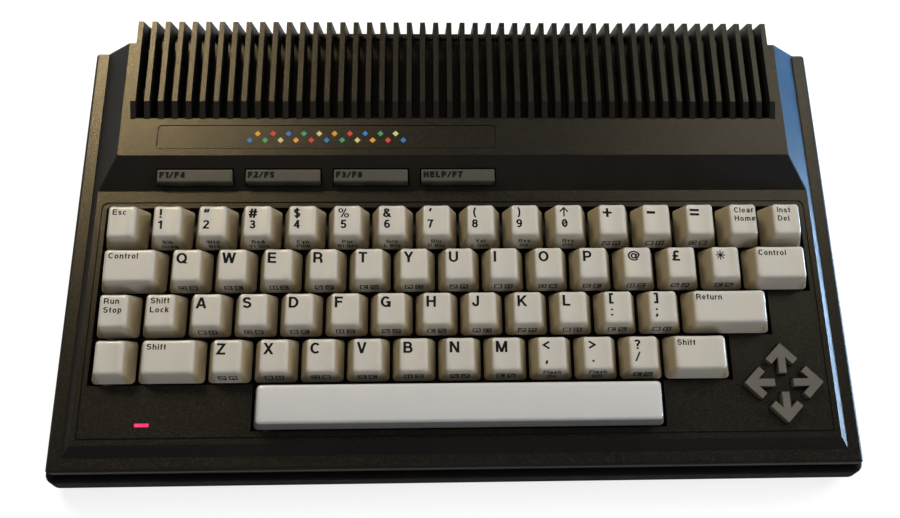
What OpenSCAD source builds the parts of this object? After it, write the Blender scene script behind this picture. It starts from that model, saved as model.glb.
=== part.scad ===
// Wedge-shaped home computer with a built-in full-travel keyboard, four long function
// keys, four arrow keys and a rear deck of cooling fins.
// X runs along the front, Y towards the back, Z up. The origin lies on the table, below
// the middle of the whole machine. Most of the upper half is drawn in the "ledge" frame,
// whose floor is the sloping ledge round the case: s runs back along it and n stands on it.

/* [Keyboard grid] */
// Distance from one key to the next along a row
key_pitch = 19.05; // [19:0.05:23]
// Distance from one row of keys to the next
row_pitch = 19.3; // [19:0.05:23]
// Gap between the skirts of two neighbouring keys
key_gap = 1.2; // [0.8:0.1:1.6]
// Gap between the skirts of two rows
row_gap = 1.45; // [0.8:0.05:1.8]
// Gap between the ends of the space bar and the places it takes up
space_gap = 2.7; // [1:0.1:4]
// How far the top face of a key is set in on each side
key_inset = 4.1; // [3.5:0.1:4.5]
// Height of a front-row key from skirt to top
key_h = 9.5; // [8:0.1:12]
// How much higher each row stands than the one in front of it
row_rise = 0.8; // [0:0.1:1]
// Thickness of the key walls
key_wall = 1.3; // [1:0.1:1.6]
// Depth of the cylindrical dish in the key tops
dish_depth = 0.7; // [0.3:0.1:1]
// How far a main key goes down
key_travel = 3.8; // [2.5:0.1:3.8]
// How far a function or arrow key goes down
small_travel = 2.6; // [1.5:0.1:2.6]
// Width of the square stem under each key
stem_w = 5; // [4:0.1:5.4]
// Clearance between stem and guide, on each side
stem_gap = 0.3; // [0.2:0.05:0.5]

/* [Upper case] */
// Case beside the key block, on each side
side_margin = 15.2; // [15:0.1:30]
// From the front lip to the front of the space bar's row
front_margin = 15.2; // [14:0.1:30]
// From the back of the key block to the foot of the function-key slope
slope_gap = 9; // [9:0.1:20]
// Run of the function-key slope
slope_run = 14.1; // [12:0.1:20]
// Flat band between that slope and the foot of the fins
badge_band = 17.5; // [16:0.1:30]
// Length of the rising front of a fin
fin_ramp = 7.5; // [5:0.1:10]
// Length of the level top of a fin
fin_len = 40.6; // [36:0.1:60]
// How far the fins reach past the back wall of the case, at their top
fin_over = 9.5; // [8:0.1:12]
// Thickness of the walls
wall = 2.5; // [2:0.1:3]
// From the outer wall to the foot of the raised middle
ledge_w = 6; // [5:0.1:9]
// The same distance at the front
front_ledge = 5.7; // [5:0.1:8]
// Height of the keyboard panel over the ledge
panel_n = 2.8; // [2.5:0.1:4]
// Height of the rear deck over the ledge
deck_n = 10.5; // [9:0.1:14]
// Run of the side flanks for each millimetre they rise
flank = 1.18; // [0.8:0.01:1.3]
// Run of the front bevel
front_bevel = 4.7; // [2:0.1:6]
// Rounding of the two front corners of the rear deck
corner_r = 1.6; // [0.5:0.1:3]
// Height of the fins over the ledge
fin_n = 13.6; // [12:0.1:20]
// Rounding of the ledge's outer edge
ledge_r = 1.5; // [0.5:0.1:2.4]
// Slope of the ledge, in degrees
tilt = 8.5; // [6:0.1:10]
// Height of the front lip over the table
lip_z = 22.4; // [22:0.1:30]

/* [Fins] */
// Number of fins
fin_count = 48; // [30:1:50]
// Thickness of a fin at its top
fin_t = 2.3; // [1.8:0.1:2.8]
// How much a fin thickens for each millimetre of depth
fin_taper = 0.06; // [0:0.01:0.08]
// Deck left bare beside the outer fins
fin_strip = 4; // [3:0.1:8]

/* [Lower case] */
// How far the rounded edge stands out past the upper case
bull_out = 2.6; // [1:0.1:4]
// The same at the front and back
bull_front = 1.8; // [1:0.1:4]
// Height of the rounded edge
bull_h = 13; // [12:0.5:14]
// Rounding of its top and bottom
bull_r = 3.2; // [2:0.1:3.4]
// Corner radius of the lower case seen from above
tray_r = 4; // [3.5:0.5:14]
// Height of a rubber foot below the case
foot_h = 3; // [2:0.1:4]
// Diameter of a rubber foot
foot_d = 12; // [8:0.5:16]

/* [Electronics] */
// Thickness of a circuit board
board_t = 1.6; // [1.2:0.1:2]
// Height of the main board over the floor of the case
board_lift = 7.5; // [7:0.1:9]
// Front to back size of the main board
board_d = 113; // [80:1:113]
// Smallest gap between pieces that only stand next to each other
gap = 0.3; // [0.2:0.05:0.4]

/* [Hidden] */
$fn = 64;
eps = 0.01;

// ---- main sizes ----
key_rows = 4;
row_units = 16;
case_w = row_units * key_pitch + 2 * side_margin;
half_w = case_w / 2;
top_row_s = front_margin + (key_rows + 0.5) * row_pitch;
slope_s = top_row_s + row_pitch / 2 + slope_gap;
deck_s = slope_s + slope_run;
fin_foot_s = deck_s + badge_band;
fin_front_s = fin_foot_s + fin_ramp;
fin_rear_s = fin_front_s + fin_len;
case_d = fin_rear_s - fin_over;
rear_lean = 0.235;
rim_top_n = -3.4;
rim_low_n = -7;
function fin_back(n) = fin_rear_s + rear_lean * (fin_n - n);
rear_s = fin_back(rim_low_n);

// ---- place in the world ----
rear_y = rear_s * cos(tilt) - rim_low_n * sin(tilt);
lip_y = -(rear_y - bull_front) / 2;
function world_y(s, n) = lip_y + s * cos(tilt) - n * sin(tilt);
function world_z(s, n) = lip_z + s * sin(tilt) + n * cos(tilt);

// ---- lower case ----
tray_top = foot_h + bull_h;
skirt_z = tray_top + 0.2;
floor_z = foot_h + wall;
tongue_h = 3;
tongue_t = 2;
back_wall_y = world_y(case_d, 0) + (world_z(case_d, 0) - skirt_z) * tan(tilt);
tray_half = half_w + bull_out;
tray_front = lip_y - bull_front;
tray_back = back_wall_y + bull_front;

// ---- key block, in the ledge frame ----
cap_n = 3;
frame_n = -5.5;
frame_t = 2.5;
kbd_board_n = -12.6;
guide_top_n = 2.5;
guide_wall = 1.2;
cut_gap = 1.2;
cut_front = 0.6;
key_d = row_pitch - row_gap;
panel_line = 0.8;
kbd_half = half_w - wall - 15;
kbd_front = front_margin - 1;
kbd_back = deck_s - 2;
function key_x(units) = (units - row_units / 2) * key_pitch;
function row_s(row) = top_row_s - row * row_pitch;
function cap_top(row) = key_h + row_rise * (key_rows - row);
stem_low_n = frame_n - frame_t - 0.4;

// Special keys: left edge and width in key units, and row, front row last
ESC = [0, 1, 0];
CLEAR = [14, 1, 0];
INST = [15, 1, 0];
CONTROL_L = [0, 1.5, 1];
CONTROL_R = [14.5, 1.5, 1];
RUN_STOP = [0, 1, 2];
SHIFT_LOCK = [1, 1, 2];
RETURN = [13, 2, 2];
CORNER = [0, 1, 3];
SHIFT_L = [1, 1.5, 3];
SHIFT_R = [12.5, 1.5, 3];
SPACE = [3.5, 9, 4];
SPECIALS = [ESC, CLEAR, INST, CONTROL_L, CONTROL_R, RUN_STOP, SHIFT_LOCK, RETURN,
            CORNER, SHIFT_L, SHIFT_R];
// Left edge of the first ordinary key of each row, and how many there are
ROW_FIRST = [1, 1.5, 2, 2.5];
ROW_COUNT = [13, 13, 11, 10];
// Right end of the key block in each row, and where the space bar lies
ROW_END = [16, 16, 15, 14];

// Function keys
fkey_w = 32.6;
fkey_d = 6;
fkey_pitch = 38.6;
fkey_x0 = -half_w + 52.1;
fkey_s = slope_s + 5.4;
fkey_top_n = panel_n + 5.4;
fkey_low_n = -0.2;
fkey_gap = 0.6;
function fkey_x(i) = fkey_x0 + i * fkey_pitch;
fkey_stems = [-12, 12];

// Arrow keys
arrow_x = half_w - 31.6;
arrow_s = front_margin + 17.5;
arrow_tip = 16.7;
arrow_end = 4;
arrow_half = 6.7;
arrow_t = 3.1;
arrow_top_n = panel_n + 3.2;
arrow_low_n = -1.9;
arrow_stem = 11.5;
arrow_stem_w = 4.2;
ARROWS = [0, 90, 180, 270];

// Power light
led_x = -half_w + 37.7;
led_s = front_margin + 3.2;
led_w = 5.8;
led_d = 1.4;

// Keyboard screws: x and s
KBD_SCREWS = [
    [-half_w + 27, slope_s - 4.4], [-half_w / 3, slope_s - 4.4],
    [half_w / 3, slope_s - 4.4], [half_w - 27, slope_s - 4.4],
    [-half_w + 64, front_margin + 6], [half_w - 64, front_margin + 6]
];
kbd_post_d = 6;
kbd_screw_d = 2.2;

// Case screws: x and world y
boss_x = half_w - wall - 6;
CASE_SCREWS = [
    [-half_w * 0.7, lip_y + 8.8], [half_w * 0.7, lip_y + 8.8],
    [-boss_x, lip_y + 100], [boss_x, lip_y + 100],
    [-boss_x, back_wall_y - 14.2], [boss_x, back_wall_y - 14.2]
];
boss_d = 8;
boss_z = tray_top - 2;
case_screw_d = 3;
case_head_d = 6;
case_head_z = foot_h + 5;

// ---- main board ----
board_z = floor_z + board_lift;
board_top = board_z + board_t;
board_half = half_w - wall - 13;
board_back = back_wall_y - 8.2;
board_front = board_back - board_d;
board_hole = 3.4;

// Rear sockets, from the right of the machine to its left
power_w = 20;
modulator_w = 37;
din_w = 20;
mini_w = 14;
expansion_w = 76;
user_w = 58;
PORT_W = [power_w, modulator_w, din_w, mini_w, mini_w, expansion_w, mini_w, din_w, user_w];
function sum_to(list, last) = last < 0 ? 0 : list[last] + sum_to(list, last - 1);
port_half = half_w - wall - 10.5;
port_gap = (2 * port_half - sum_to(PORT_W, len(PORT_W) - 1)) / (len(PORT_W) - 1);
function port_x(i) = port_half - sum_to(PORT_W, i - 1) - i * port_gap - PORT_W[i] / 2;
BOARD_SCREWS = [
    [-board_half + 6, board_front + 6], [0, board_front + 6], [board_half - 6, board_front + 6],
    [-board_half + 6, board_back - 36], [port_x(1) - modulator_w / 2 - 4.8, board_back - 36],
    [-60, board_back - 36]
];
din_h = 19.5;
mini_h = 13;
expansion_h = 11;
din_z = board_top + din_h / 2;
mini_z = board_top + mini_h / 2;
expansion_z = board_top + expansion_h / 2;
socket_face = back_wall_y - wall - tongue_t - 1.7;
jack_x = port_x(1) - 8;
jack_d = 8.3;
jack_end = socket_face + 8.5;
slider_x = port_x(1) + 9;
slider_z = board_top + 6;
slider_travel = 4;
user_above = 6;
user_below = 4.8;

// Side switches
switch_y = world_y(kbd_back, kbd_board_n) + 17.5;
switch_z = board_top + 10;
rocker_w = 18;
rocker_h = 9;
rocker_swing = 8;
rocker_pin_d = 2.6;
rocker_pivot_x = half_w - wall - gap - tongue_t - 1.7;
reset_y = switch_y - 28;
reset_z = switch_z;
reset_d = 6;
reset_travel = 2;

// ---- colours ----
case_dark = [0.13, 0.12, 0.1];
slope_dark = [0.07, 0.07, 0.07];
ivory = [0.82, 0.79, 0.72];
key_grey = [0.45, 0.44, 0.43];
board_green = [0.12, 0.3, 0.16];
tin = [0.72, 0.73, 0.74];

// ---- frames and prisms ----

// Draws its children in the ledge frame
module on_ledge() {
    translate([0, lip_y, lip_z]) rotate([tilt, 0, 0]) children();
}

// Carries an outline of s and n across the machine, from x0 to x1
module across(x0, x1) {
    translate([x0, 0, 0]) rotate([90, 0, 90]) linear_extrude(x1 - x0) children();
}

// Carries an outline of x and n front to back, from s0 to s1
module along(s0, s1) {
    translate([0, s1, 0]) rotate([90, 0, 0]) linear_extrude(s1 - s0) children();
}

// A box given by its two corners
module block(low, high) {
    translate(low) cube(high - low);
}

// A rectangle with round corners, from its two corners
module round_rect(low, high, r) {
    translate([low[0] + r, low[1]]) square([high[0] - low[0] - 2 * r, high[1] - low[1]]);
    translate([low[0], low[1] + r]) square([high[0] - low[0], high[1] - low[1] - 2 * r]);
    for (x = [low[0] + r, high[0] - r])
        for (y = [low[1] + r, high[1] - r])
            translate([x, y]) circle(r);
}

// A cylinder that lies along y, from y0 to y1
module rod_y(x, y0, y1, z, d) {
    translate([x, y1, z]) rotate([90, 0, 0]) cylinder(h = y1 - y0, d = d);
}

// ---- upper case ----

// Raised middle of the case: panel, slope and deck. inset is zero outside, the wall inside
module raised_form(inset) {
    lean = atan(1 / flank);
    side_in = inset / sin(lean);
    slope_shift = inset * tan(atan((deck_n - panel_n) / slope_run) / 2);
    bevel_in = inset * 1.3;
    low = -inset - 1;
    foot = half_w - ledge_w - side_in;
    intersection() {
        across(-half_w, half_w) polygon([
            [front_ledge + bevel_in, low],
            [front_ledge + bevel_in, 0],
            [front_ledge + front_bevel + bevel_in, panel_n - inset],
            [slope_s + slope_shift, panel_n - inset],
            [deck_s + slope_shift, deck_n - inset],
            [case_d - inset, deck_n - inset],
            [case_d - inset, low]
        ]);
        along(0, case_d) polygon([
            [-foot - flank * inset, low],
            [-foot - flank * inset, -inset],
            [-foot + flank * (deck_n - inset), deck_n - inset],
            [foot - flank * (deck_n - inset), deck_n - inset],
            [foot + flank * inset, -inset],
            [foot + flank * inset, low]
        ]);
    }
}

// What rounding takes off the right corner, where the slope meets the flank of the deck
module deck_corner() {
    climb = slope_run / (deck_n - panel_n);
    ridge = [-flank, climb, 1] / norm([flank, climb, 1]);
    side = [1, 0, flank] / norm([1, 0, flank]);
    front = [0, -1, climb] / norm([0, -1, climb]);
    out = (side + front) / norm(side + front);
    right = cross(out, ridge);
    half = acos(side * front) / 2;
    reach = corner_r / cos(half);
    touch = [corner_r * sin(half), corner_r * cos(half) - reach];
    beyond = touch + [sin(half), cos(half)];
    long = (deck_n - panel_n) / ridge[2];
    intersection() {
        multmatrix([
            [right[0], out[0], ridge[0], half_w - ledge_w - flank * panel_n],
            [right[1], out[1], ridge[1], slope_s],
            [right[2], out[2], ridge[2], panel_n]
        ]) translate([0, 0, -5]) difference() {
            linear_extrude(long + 10) polygon([
                [0, -reach], touch, beyond, [0, 2], [-beyond[0], beyond[1]], [-touch[0], touch[1]]
            ]);
            translate([0, -reach, -1]) cylinder(h = long + 12, r = corner_r);
        }
        block([0, slope_s - 20, panel_n + eps], [half_w, deck_s + 20, deck_n + 5]);
    }
}

// Lower body of the upper case: a block with round upright edges
body_depth = lip_z + case_d * sin(tilt);

module body_block(inset) {
    translate([0, 0, -body_depth]) linear_extrude(body_depth - inset)
        round_rect([-half_w + inset, inset], [half_w - inset, case_d - inset], 2);
}

// Outline of the block seen from one side, from a to b, with round upper corners
module body_outline(a, b) {
    translate([a, -body_depth - 1]) square([b - a, body_depth + 1 - ledge_r]);
    translate([a + ledge_r, -ledge_r - 1]) square([b - a - 2 * ledge_r, ledge_r + 1]);
    for (x = [a + ledge_r, b - ledge_r])
        translate([x, -ledge_r]) circle(ledge_r);
}

// The same block with the ledge's outer edge rounded at the front and sides
module body_form() {
    intersection() {
        body_block(0);
        along(-1, case_d + 1) body_outline(-half_w, half_w);
        across(-half_w - 1, half_w + 1) body_outline(0, case_d + 10);
    }
}

// Everything above the lower edge of the upper case
module above_skirt() {
    translate([-case_w, lip_y - 20, skirt_z]) cube([2 * case_w, case_d + 60, 120]);
}

fin_half = half_w - ledge_w - flank * deck_n - fin_strip;
fin_pitch = (2 * fin_half - fin_t) / (fin_count - 1);
function fin_x(i) = -fin_half + fin_t / 2 + i * fin_pitch;
fin_low_t = fin_t + fin_taper * (fin_n - rim_low_n);
vent_half = fin_half - fin_t / 2;
fin_bar_n = 4;
cheek_t = 3;

// Outline of one fin seen from the side: ramp, level top and leaning back
module fin_outline() {
    polygon([
        [fin_foot_s, deck_n], [fin_front_s, fin_n], [fin_rear_s, fin_n],
        [fin_back(rim_top_n - 1), rim_top_n - 1],
        [fin_back(rim_top_n - 1) - wall, rim_top_n - 1],
        [fin_back(fin_bar_n) - wall - 1, fin_bar_n],
        [fin_foot_s + wall, fin_bar_n], [fin_foot_s + 1, deck_n - wall],
        [fin_foot_s - 1, deck_n - wall + 0.5], [fin_foot_s - 1, deck_n - 0.5]
    ]);
}

// The fins, each thicker at its foot than at its top
module fin_row() {
    intersection() {
        across(-half_w, half_w) fin_outline();
        along(fin_foot_s - 5, rear_s + 5)
            for (i = [0 : fin_count - 1])
                translate([fin_x(i), 0]) polygon([
                    [-fin_low_t / 2, rim_low_n], [-fin_t / 2, fin_n],
                    [fin_t / 2, fin_n], [fin_low_t / 2, rim_low_n]
                ]);
    }
}

// Rim, floor and cheeks that close the part of the fin bank behind the back wall
module fin_rim() {
    outer = fin_half + fin_taper * (fin_n - rim_low_n) / 2;
    across(-outer, outer) polygon([
        [fin_back(rim_top_n), rim_top_n], [rear_s, rim_low_n], [case_d - wall / 2, rim_low_n],
        [case_d - wall / 2, rim_low_n + wall], [rear_s - wall, rim_low_n + wall],
        [fin_back(rim_top_n) - wall, rim_top_n]
    ]);
    for (side = [-1, 1]) {
        x = side * (fin_half - cheek_t / 2);
        intersection() {
            across(x - cheek_t / 2, x + cheek_t / 2) polygon([
                [case_d - wall, fin_bar_n + 1], [fin_back(fin_bar_n + 1), fin_bar_n + 1],
                [fin_back(rim_low_n), rim_low_n], [case_d - wall, rim_low_n]
            ]);
        }
    }
}

// Shelf under the fins that keeps dust and dropped things off the board
baffle_t = 2;
baffle_s = fin_foot_s - 4;

module vent_baffle() {
    block([-vent_half - 1, baffle_s, rim_low_n + wall - baffle_t],
          [vent_half + 1, case_d - wall / 2, rim_low_n + wall]);
}

// Opening under the fins: through the deck, and through the back wall above the rim
module vent_cut() {
    across(-vent_half, vent_half) polygon([
        [fin_foot_s + 0.4, deck_n + eps], [fin_foot_s + 0.4 + wall, deck_n - wall - 1],
        [fin_foot_s + 0.4 + wall, rim_low_n + wall], [case_d + 1, rim_low_n + wall],
        [case_d + 1, deck_n + 1], [fin_foot_s + 0.4, deck_n + 1]
    ]);
}

// Stepped opening for the keys
module key_cut() {
    for (row = [0 : 3]) {
        back = row_s(row) + row_pitch / 2 + (row == 0 ? cut_gap : 0);
        front = row_s(row) - key_d / 2 - cut_front;
        translate([key_x(0) - cut_gap, front])
            square([(ROW_END[row]) * key_pitch + 2 * cut_gap, back - front]);
    }
    translate([key_x(SPACE[0]), row_s(4) - key_d / 2 - cut_front])
        square([SPACE[1] * key_pitch, row_pitch]);
}

// Outline of an arrow that points to +y, grown by margin all round
module arrow(margin) {
    head = arrow_tip - arrow_t / sqrt(2);
    arm = (arrow_half - arrow_t / (2 * sqrt(2))) * sqrt(2);
    translate([-arrow_t / 2 - margin, arrow_end - margin])
        square([arrow_t + 2 * margin, head - arrow_end + margin]);
    for (side = [0, 1])
        mirror([side, 0])
            translate([0, arrow_tip - arrow_t * sqrt(2) / 2]) rotate(-135)
                translate([-arrow_t / 2 - margin, -arrow_t / 2 - margin])
                    square([arm + arrow_t / 2 + 2 * margin, arrow_t + 2 * margin]);
}

module arrow_places() {
    translate([arrow_x, arrow_s]) children();
}

// Moulded line round the keyboard panel
module panel_groove() {
    depth = 0.5;
    x = key_x(row_units) + 3.5;
    low = front_margin - 2.8;
    high = slope_s - 5.1;
    r = 3;
    translate([0, 0, panel_n - depth]) linear_extrude(depth + 1) difference() {
        panel_outline(x, low, high, r);
        panel_outline(x - panel_line, low + panel_line, high - panel_line, r - panel_line);
    }
}

// Rectangle with square front corners and round back corners
module panel_outline(x, low, high, r) {
    translate([-x, low]) square([2 * x, high - low - r]);
    translate([-x + r, low]) square([2 * x - 2 * r, high - low]);
    for (side = [-1, 1])
        translate([side * (x - r), high - r]) circle(r);
}

badge_low = [fkey_x(0) - fkey_w / 2 - 0.9, deck_s + 3.2];
badge_high = [fkey_x(3) + fkey_w / 2 + 0.9, deck_s + 14.6];
badge_sink = 0.7;

module case_boss(place, z0) {
    translate([place[0], place[1], z0]) cylinder(h = 60, d = boss_d);
}

// Every opening in the back wall, drawn in the world frame
module rear_openings() {
    y0 = back_wall_y - 16;
    y1 = tray_back + 5;
    for (i = [0, 2, 7])
        rod_y(port_x(i), y0, y1, din_z, 17);
    for (i = [3, 4, 6])
        rod_y(port_x(i), y0, y1, mini_z, 12);
    rod_y(jack_x, y0, y1, din_z, 12.4);
    block([slider_x - 5.5, y0, slider_z - 2.6], [slider_x + 5.5, y1, slider_z + 2.6]);
    block([port_x(5) - expansion_w / 2, y0, expansion_z - 6.5],
          [port_x(5) + expansion_w / 2, y1, expansion_z + 6.5]);
    block([port_x(8) - user_w / 2, y0, board_z - user_below],
          [port_x(8) + user_w / 2, y1, board_top + user_above]);
}

// Openings for the power rocker and the reset button in the right wall
module side_openings() {
    block([half_w - 4, switch_y - rocker_w / 2 - 0.8, switch_z - rocker_h / 2 - 0.8],
          [half_w + 5, switch_y + rocker_w / 2 + 0.8, switch_z + rocker_h / 2 + 0.8]);
    translate([half_w - 4, reset_y, reset_z]) rotate([0, 90, 0]) cylinder(h = 9, d = reset_d + 1);
}

module upper_case() {
    color(case_dark) difference() {
        union() {
            difference() {
                on_ledge() union() {
                    body_form();
                    raised_form(0);
                }
                on_ledge() union() {
                    body_block(wall);
                    raised_form(wall);
                    vent_cut();
                    deck_corner();
                    mirror([1, 0, 0]) deck_corner();
                }
            }
            on_ledge() union() {
                fin_row();
                fin_rim();
                vent_baffle();
                for (p = KBD_SCREWS)
                    translate([p[0], p[1], frame_n])
                        cylinder(h = panel_n - wall / 2 - frame_n, d = kbd_post_d);
            }
            intersection() {
                union() for (p = CASE_SCREWS) case_boss(p, boss_z);
                on_ledge() body_block(wall / 2);
            }
            for (p = CASE_SCREWS)
                translate([p[0], p[1], boss_z]) cylinder(h = skirt_z - boss_z + 1, d = boss_d);
        }
        on_ledge() {
            translate([0, 0, panel_n - wall - 3]) linear_extrude(wall + 6) key_cut();
            for (i = [0 : 3])
                block([fkey_x(i) - fkey_w / 2 - fkey_gap, fkey_s - fkey_d / 2 - fkey_gap, -2],
                      [fkey_x(i) + fkey_w / 2 + fkey_gap, fkey_s + fkey_d / 2 + fkey_gap, 12]);
            translate([0, 0, -1]) linear_extrude(panel_n + 2) arrow_places()
                for (turn = ARROWS) rotate(turn) arrow(0.5);
            block([led_x - led_w / 2 - 0.1, led_s - led_d / 2 - 0.1, -1],
                  [led_x + led_w / 2 + 0.1, led_s + led_d / 2 + 0.1, panel_n + 1]);
            panel_groove();
            translate([0, 0, deck_n - badge_sink]) linear_extrude(2)
                round_rect(badge_low, badge_high, 2);
            for (p = KBD_SCREWS)
                translate([p[0], p[1], frame_n - 1])
                    cylinder(h = panel_n - wall - frame_n + 1.5, d = kbd_screw_d + 0.3);
        }
        for (p = CASE_SCREWS)
            translate([p[0], p[1], boss_z - 1]) cylinder(h = 8, d = case_screw_d + 0.3);
        rear_openings();
        side_openings();
        difference() {
            translate([-case_w, lip_y - 20, -90]) cube([2 * case_w, case_d + 60, skirt_z + 90]);
            for (p = CASE_SCREWS)
                translate([p[0], p[1], boss_z]) cylinder(h = skirt_z, d = boss_d);
        }
    }
}

// A thin plate in the shallow recess on the deck
module badge_plate() {
    color(slope_dark) on_ledge()
        translate([0, 0, deck_n - badge_sink]) linear_extrude(badge_sink - 0.2)
            round_rect(badge_low + [gap, gap], badge_high - [gap, gap], 1.7);
}

module led_lens() {
    color("red") on_ledge() {
        block([led_x - led_w / 2, led_s - led_d / 2, panel_n - wall - eps],
              [led_x + led_w / 2, led_s + led_d / 2, panel_n - 0.2]);
        block([led_x - led_w / 2 - 1.5, led_s - led_d / 2 - 1.2, panel_n - wall - 1],
              [led_x + led_w / 2 + 1.5, led_s + led_d / 2 + 1.2, panel_n - wall]);
    }
}

module led_lamp() {
    color("pink") on_ledge() translate([led_x, led_s, 0]) {
        low = panel_n - wall - 7;
        translate([0, 0, low]) cylinder(h = 6, d = 5);
        for (x = [-1.27, 1.27])
            translate([x, 0, kbd_board_n]) cylinder(h = low - kbd_board_n + 1, d = 0.6);
    }
}

// ---- lower case ----

// Edge profile of the tray: flat top, bottom and outer face, with rounded corners between
module tray_edge(reach) {
    square([reach - bull_r, bull_h]);
    translate([0, bull_r]) square([reach, bull_h - 2 * bull_r]);
    for (y = [bull_r, bull_h - bull_r])
        translate([reach - bull_r, y]) circle(bull_r);
}

// The tray as a solid, rounded all round and at its corners
module tray_form() {
    x = tray_half - tray_r;
    y0 = tray_front + tray_r;
    y1 = tray_back - tray_r;
    translate([0, 0, foot_h]) {
        block([-x, y0, 0], [x, y1, bull_h]);
        for (side = [-1, 1])
            translate([side * x, side > 0 ? y0 : y1, 0]) rotate([90, 0, side > 0 ? 0 : 180])
                translate([0, 0, -(y1 - y0)]) linear_extrude(y1 - y0) intersection() {
                    tray_edge(tray_r);
                    square([tray_r + 1, bull_h]);
                }
        for (end = [0, 1])
            translate([end == 0 ? -x : x, end == 0 ? y0 : y1, 0]) rotate([90, 0, end == 0 ? -90 : 90])
                translate([0, 0, -2 * x]) linear_extrude(2 * x) intersection() {
                    tray_edge(tray_r);
                    square([tray_r + 1, bull_h]);
                }
        corner(x, y1, 0);
        corner(-x, y1, 90);
        corner(-x, y0, 180);
        corner(x, y0, 270);
    }
}

module corner(x, y, turn) {
    translate([x, y, 0]) rotate(turn) rotate_extrude(angle = 90) intersection() {
        tray_edge(tray_r);
        square([tray_r + 1, bull_h]);
    }
}

// Hollow of the tray, and the standing lip that laps inside the upper case
tray_in = half_w - wall - gap - tongue_t;
tray_in_front = lip_y + wall + 1.6 + tongue_t;
tray_in_back = back_wall_y - wall - 1.6 - tongue_t;

module tray_lip(grow, z0, z1) {
    translate([0, 0, z0]) linear_extrude(z1 - z0)
        round_rect([-tray_in - grow, tray_in_front - grow], [tray_in + grow, tray_in_back + grow],
                   3 + grow);
}

FEET = [for (x = [-1, 1], y = [tray_front + 22, tray_back - 22]) [x * (half_w - 26), y]];

module lower_case() {
    color(case_dark) difference() {
        union() {
            tray_form();
            tray_lip(tongue_t, tray_top - 4, tray_top + tongue_h);
        }
        difference() {
            tray_lip(0, floor_z, tray_top + tongue_h + 1);
            for (p = CASE_SCREWS)
                translate([p[0], p[1], foot_h]) cylinder(h = boss_z - foot_h, d = boss_d + 2);
            for (p = BOARD_SCREWS)
                translate([p[0], p[1], foot_h]) cylinder(h = board_z - foot_h, d = 7);
        }
        for (p = CASE_SCREWS) {
            translate([p[0], p[1], boss_z]) cylinder(h = 20, d = boss_d + 2 * gap);
            translate([p[0], p[1], 0]) cylinder(h = boss_z + 1, d = case_screw_d + 0.4);
            translate([p[0], p[1], 0]) cylinder(h = case_head_z, d = case_head_d + 0.6);
        }
        for (p = BOARD_SCREWS)
            translate([p[0], p[1], floor_z]) cylinder(h = board_lift + 1, d = 2.8);
        for (p = FEET)
            translate([p[0], p[1], 0]) cylinder(h = foot_h + 0.5, d = foot_d + 0.4);
        rear_openings();
    }
}

module rubber_feet() {
    color([0.1, 0.1, 0.1])
        for (p = FEET)
            translate([p[0], p[1], 0]) {
                cylinder(h = 0.6, d1 = foot_d - 1.2, d2 = foot_d);
                translate([0, 0, 0.6 - eps]) cylinder(h = foot_h + 0.5 - 0.6 + eps, d = foot_d);
            }
}

module screw(shaft_d, shaft_h, head_d, head_h) {
    difference() {
        union() {
            cylinder(h = head_h, d = head_d);
            translate([0, 0, head_h - eps]) cylinder(h = shaft_h + eps, d = shaft_d);
        }
        for (turn = [0, 90])
            rotate(turn) translate([-head_d / 3, -0.4, -1]) cube([head_d / 1.5, 0.8, 1.8]);
    }
}

module case_screws() {
    head_h = 2.2;
    color(tin) for (p = CASE_SCREWS)
        translate([p[0], p[1], case_head_z - head_h]) screw(case_screw_d, 11, case_head_d, head_h);
}

module board_screws() {
    head_h = 2;
    color(tin) for (p = BOARD_SCREWS)
        translate([p[0], p[1], board_top + head_h]) mirror([0, 0, 1]) screw(2.6, 7, 5.6, head_h);
}

module keyboard_screws() {
    head_h = 1.6;
    color(tin) on_ledge() for (p = KBD_SCREWS)
        translate([p[0], p[1], kbd_board_n - board_t - head_h])
            screw(kbd_screw_d, frame_n + 5 - kbd_board_n + board_t, 4.6, head_h);
}

// ---- keys ----

// Outline of a key from the side, y back and z up from its skirt
module key_side(row, h) {
    d = key_d;
    front_in = row == 4 ? 1.4 : 2.5;
    back_in = row == 4 ? 1.2 : 1.9;
    r = 1.2;
    lean = 0.5;
    difference() {
        polygon([
            [-d / 2, 0], [-d / 2 + 0.5, 1.6], [-d / 2 + front_in, h - lean - 0.5],
            [-d / 2 + front_in + 0.5, h - lean], [d / 2 - back_in - 0.5, h],
            [d / 2 - back_in, h - 0.5], [d / 2 - 0.3, 1.6], [d / 2, 0]
        ]);
        if (row == 4)
            translate([-d, h]) square([0.1, 0.1]);
    }
}

// Outline of a key from the front
module key_front(w, h, inset) {
    polygon([
        [-w / 2, 0], [-w / 2 + 0.4, 1.6], [-w / 2 + inset - 0.3, h - 0.8],
        [-w / 2 + inset + 0.4, h + 1], [w / 2 - inset - 0.4, h + 1],
        [w / 2 - inset + 0.3, h - 0.8], [w / 2 - 0.4, 1.6], [w / 2, 0]
    ]);
}

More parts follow.
